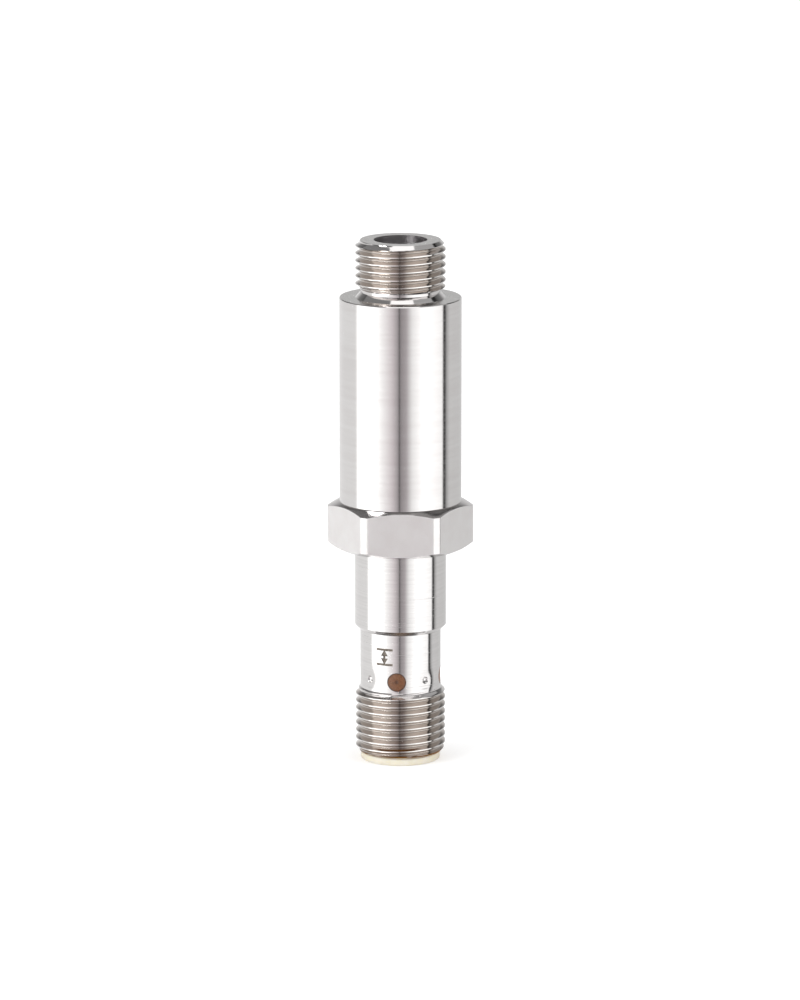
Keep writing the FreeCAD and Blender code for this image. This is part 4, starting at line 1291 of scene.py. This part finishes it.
def tent_wall_cloth():
    """White tent cloth, lit unevenly low down: soft boxes left and right, a black flag and a gap."""
    material, tree = new_material("tent_wall_cloth")
    place = node(tree, "SeparateXYZ", {"Vector": node(tree, "TexCoord").outputs["Object"]})
    front = node(tree, "Math", {0: place.outputs["Y"], 1: -1.0}, operation="MULTIPLY").outputs["Value"]
    turn = node(tree, "Math", {0: place.outputs["X"], 1: front}, operation="ARCTAN2").outputs["Value"]
    share = between(tree, turn, 0.0, 1.0, -math.pi, math.pi)
    brightest = max(level for angle, level in WALL_LEVELS)
    stops = []
    for angle, level in WALL_LEVELS:
        tint = GAP_TINT if GAP_EDGES[0] < angle < GAP_EDGES[1] else (1.0, 1.0, 1.0)
        colour = [level / brightest * channel for channel in tint]
        stops.append(((angle + 180) / 360, (*colour, 1.0)))
    boxes = node(tree, "ValToRGB", {"Fac": share})
    set_stops(boxes, stops)
    rise = between(tree, place.outputs["Z"], 0.0, 1.0, 0.0, TENT_TOP)
    plain = PLAIN_CLOTH / brightest
    cloth = node(tree, "Mix", {
        "Factor": between(tree, rise, 0.0, 1.0, *BOX_TOPS),
        "A": boxes.outputs["Color"],
        "B": (plain, plain, plain, 1.0),
    }, data_type="RGBA")
    fall = node(tree, "ValToRGB", {"Fac": rise})
    set_stops(fall, [(share, (level, level, level, 1.0)) for share, level in WALL_FALL])
    strength = node(tree, "Math", {0: fall.outputs["Color"], 1: brightest}, operation="MULTIPLY")
    light = node(tree, "Emission", {
        "Color": cloth.outputs["Result"], "Strength": strength.outputs["Value"],
    })
    node(tree, "OutputMaterial", {"Surface": light.outputs[0]})
    material.cycles.emission_sampling = "NONE"
    return material


def make_tent():
    """Light tent round the sensor, which its metal reflects."""
    wall = bmesh.new()
    bmesh.ops.create_cone(
        wall, cap_ends=False, segments=180, radius1=TENT_RADIUS, radius2=TENT_RADIUS,
        depth=TENT_TOP - TENT_BOTTOM,
        matrix=Matrix.Translation((0, 0, (TENT_TOP + TENT_BOTTOM) / 2)),
    )
    hang_cloth(wall, "tent_wall", tent_wall_cloth())
    roof = level_disc(TENT_RADIUS, TENT_TOP, 90)
    hang_cloth(roof, "tent_roof", glow("dim_roof_cloth", ROOF_LEVEL))
    ground = level_disc(TENT_RADIUS, TENT_BOTTOM, 90)
    hang_cloth(ground, "tent_ground", glow("bright_ground_cloth", GROUND_LEVEL))
    for name, middle, height, size, level in CARDS:
        card = bmesh.new()
        bmesh.ops.create_grid(
            card, x_segments=1, y_segments=1, size=0.5,
            matrix=Matrix.Translation((*middle, height)) @ Matrix.Diagonal((*size, 1.0, 1.0)),
        )
        hang_cloth(card, name, glow(f"{name}_cloth", level))


def make_floor():
    """Plain white table, a hair under the sensor. Metal reflects the tent instead of it."""
    material, tree = new_material("white_table")
    path = node(tree, "LightPath")
    matte = node(tree, "BsdfDiffuse", {"Color": hex_colour("#e6e6e6")})
    distance = node(tree, "VectorMath", {
        0: node(tree, "TexCoord").outputs["Object"],
    }, operation="LENGTH").outputs["Value"]
    # The eye sees the table grow lighter away from the sensor, up to the white backdrop
    lift = node(tree, "Emission", {
        "Color": (1, 1, 1, 1),
        "Strength": between(tree, distance, 0.3, 0.5, start=0.05, stop=0.8),
    })
    lifted = node(tree, "AddShader", {0: matte.outputs[0], 1: lift.outputs[0]})
    seen = node(tree, "MixShader", {
        "Fac": path.outputs["Is Camera Ray"], 1: matte.outputs[0], 2: lifted.outputs[0],
    })
    node(tree, "OutputMaterial", {"Surface": seen.outputs[0]})
    floor = add_object(level_disc(FLOOR_RADIUS, cad_box[0][2] - FLOOR_GAP, 96), "floor", [material])
    floor.visible_glossy = False
    shaded = level_disc(SHADED_RADIUS, cad_box[0][2] - 2 * FLOOR_GAP, 48)
    hang_cloth(shaded, "shaded_table", glow("shaded_table", SHADED_LEVEL, SHADED_COLOUR))


def make_lamps():
    for name, place, width, watts in LAMPS:
        data = bpy.data.lights.new(name, "AREA")
        data.shape = "SQUARE"
        data.size = width
        data.energy = watts
        lamp = bpy.data.objects.new(name, data)
        bpy.context.scene.collection.objects.link(lamp)
        lamp.matrix_world = aimed(Vector(place), Vector((0.0, 0.0, AIM_HEIGHT)))
        lamp.visible_glossy = False


def make_world():
    """White all round for the eye and in reflections, and an even soft fill for matte surfaces."""
    world = bpy.data.worlds.new("studio")
    world.use_nodes = True
    tree = world.node_tree
    tree.nodes.clear()
    path = node(tree, "LightPath")
    direct = node(tree, "Math", {
        0: path.outputs["Is Camera Ray"], 1: path.outputs["Is Glossy Ray"],
    }, operation="MAXIMUM")
    seen = node(tree, "Math", {
        0: direct.outputs["Value"], 1: path.outputs["Is Transmission Ray"],
    }, operation="MAXIMUM")
    fill = node(tree, "Background", {"Color": (1, 1, 1, 1), "Strength": FILL_LEVEL})
    white = node(tree, "Background", {"Color": (1, 1, 1, 1), "Strength": 1.0})
    mixed = node(tree, "MixShader", {
        "Fac": seen.outputs["Value"], 1: fill.outputs[0], 2: white.outputs[0],
    })
    node(tree, "OutputWorld", {"Surface": mixed.outputs[0]})
    bpy.context.scene.world = world


make_pieces()
make_camera()
make_tent()
make_floor()
make_lamps()
make_world()
bpy.context.scene.view_settings.view_transform = "Standard"
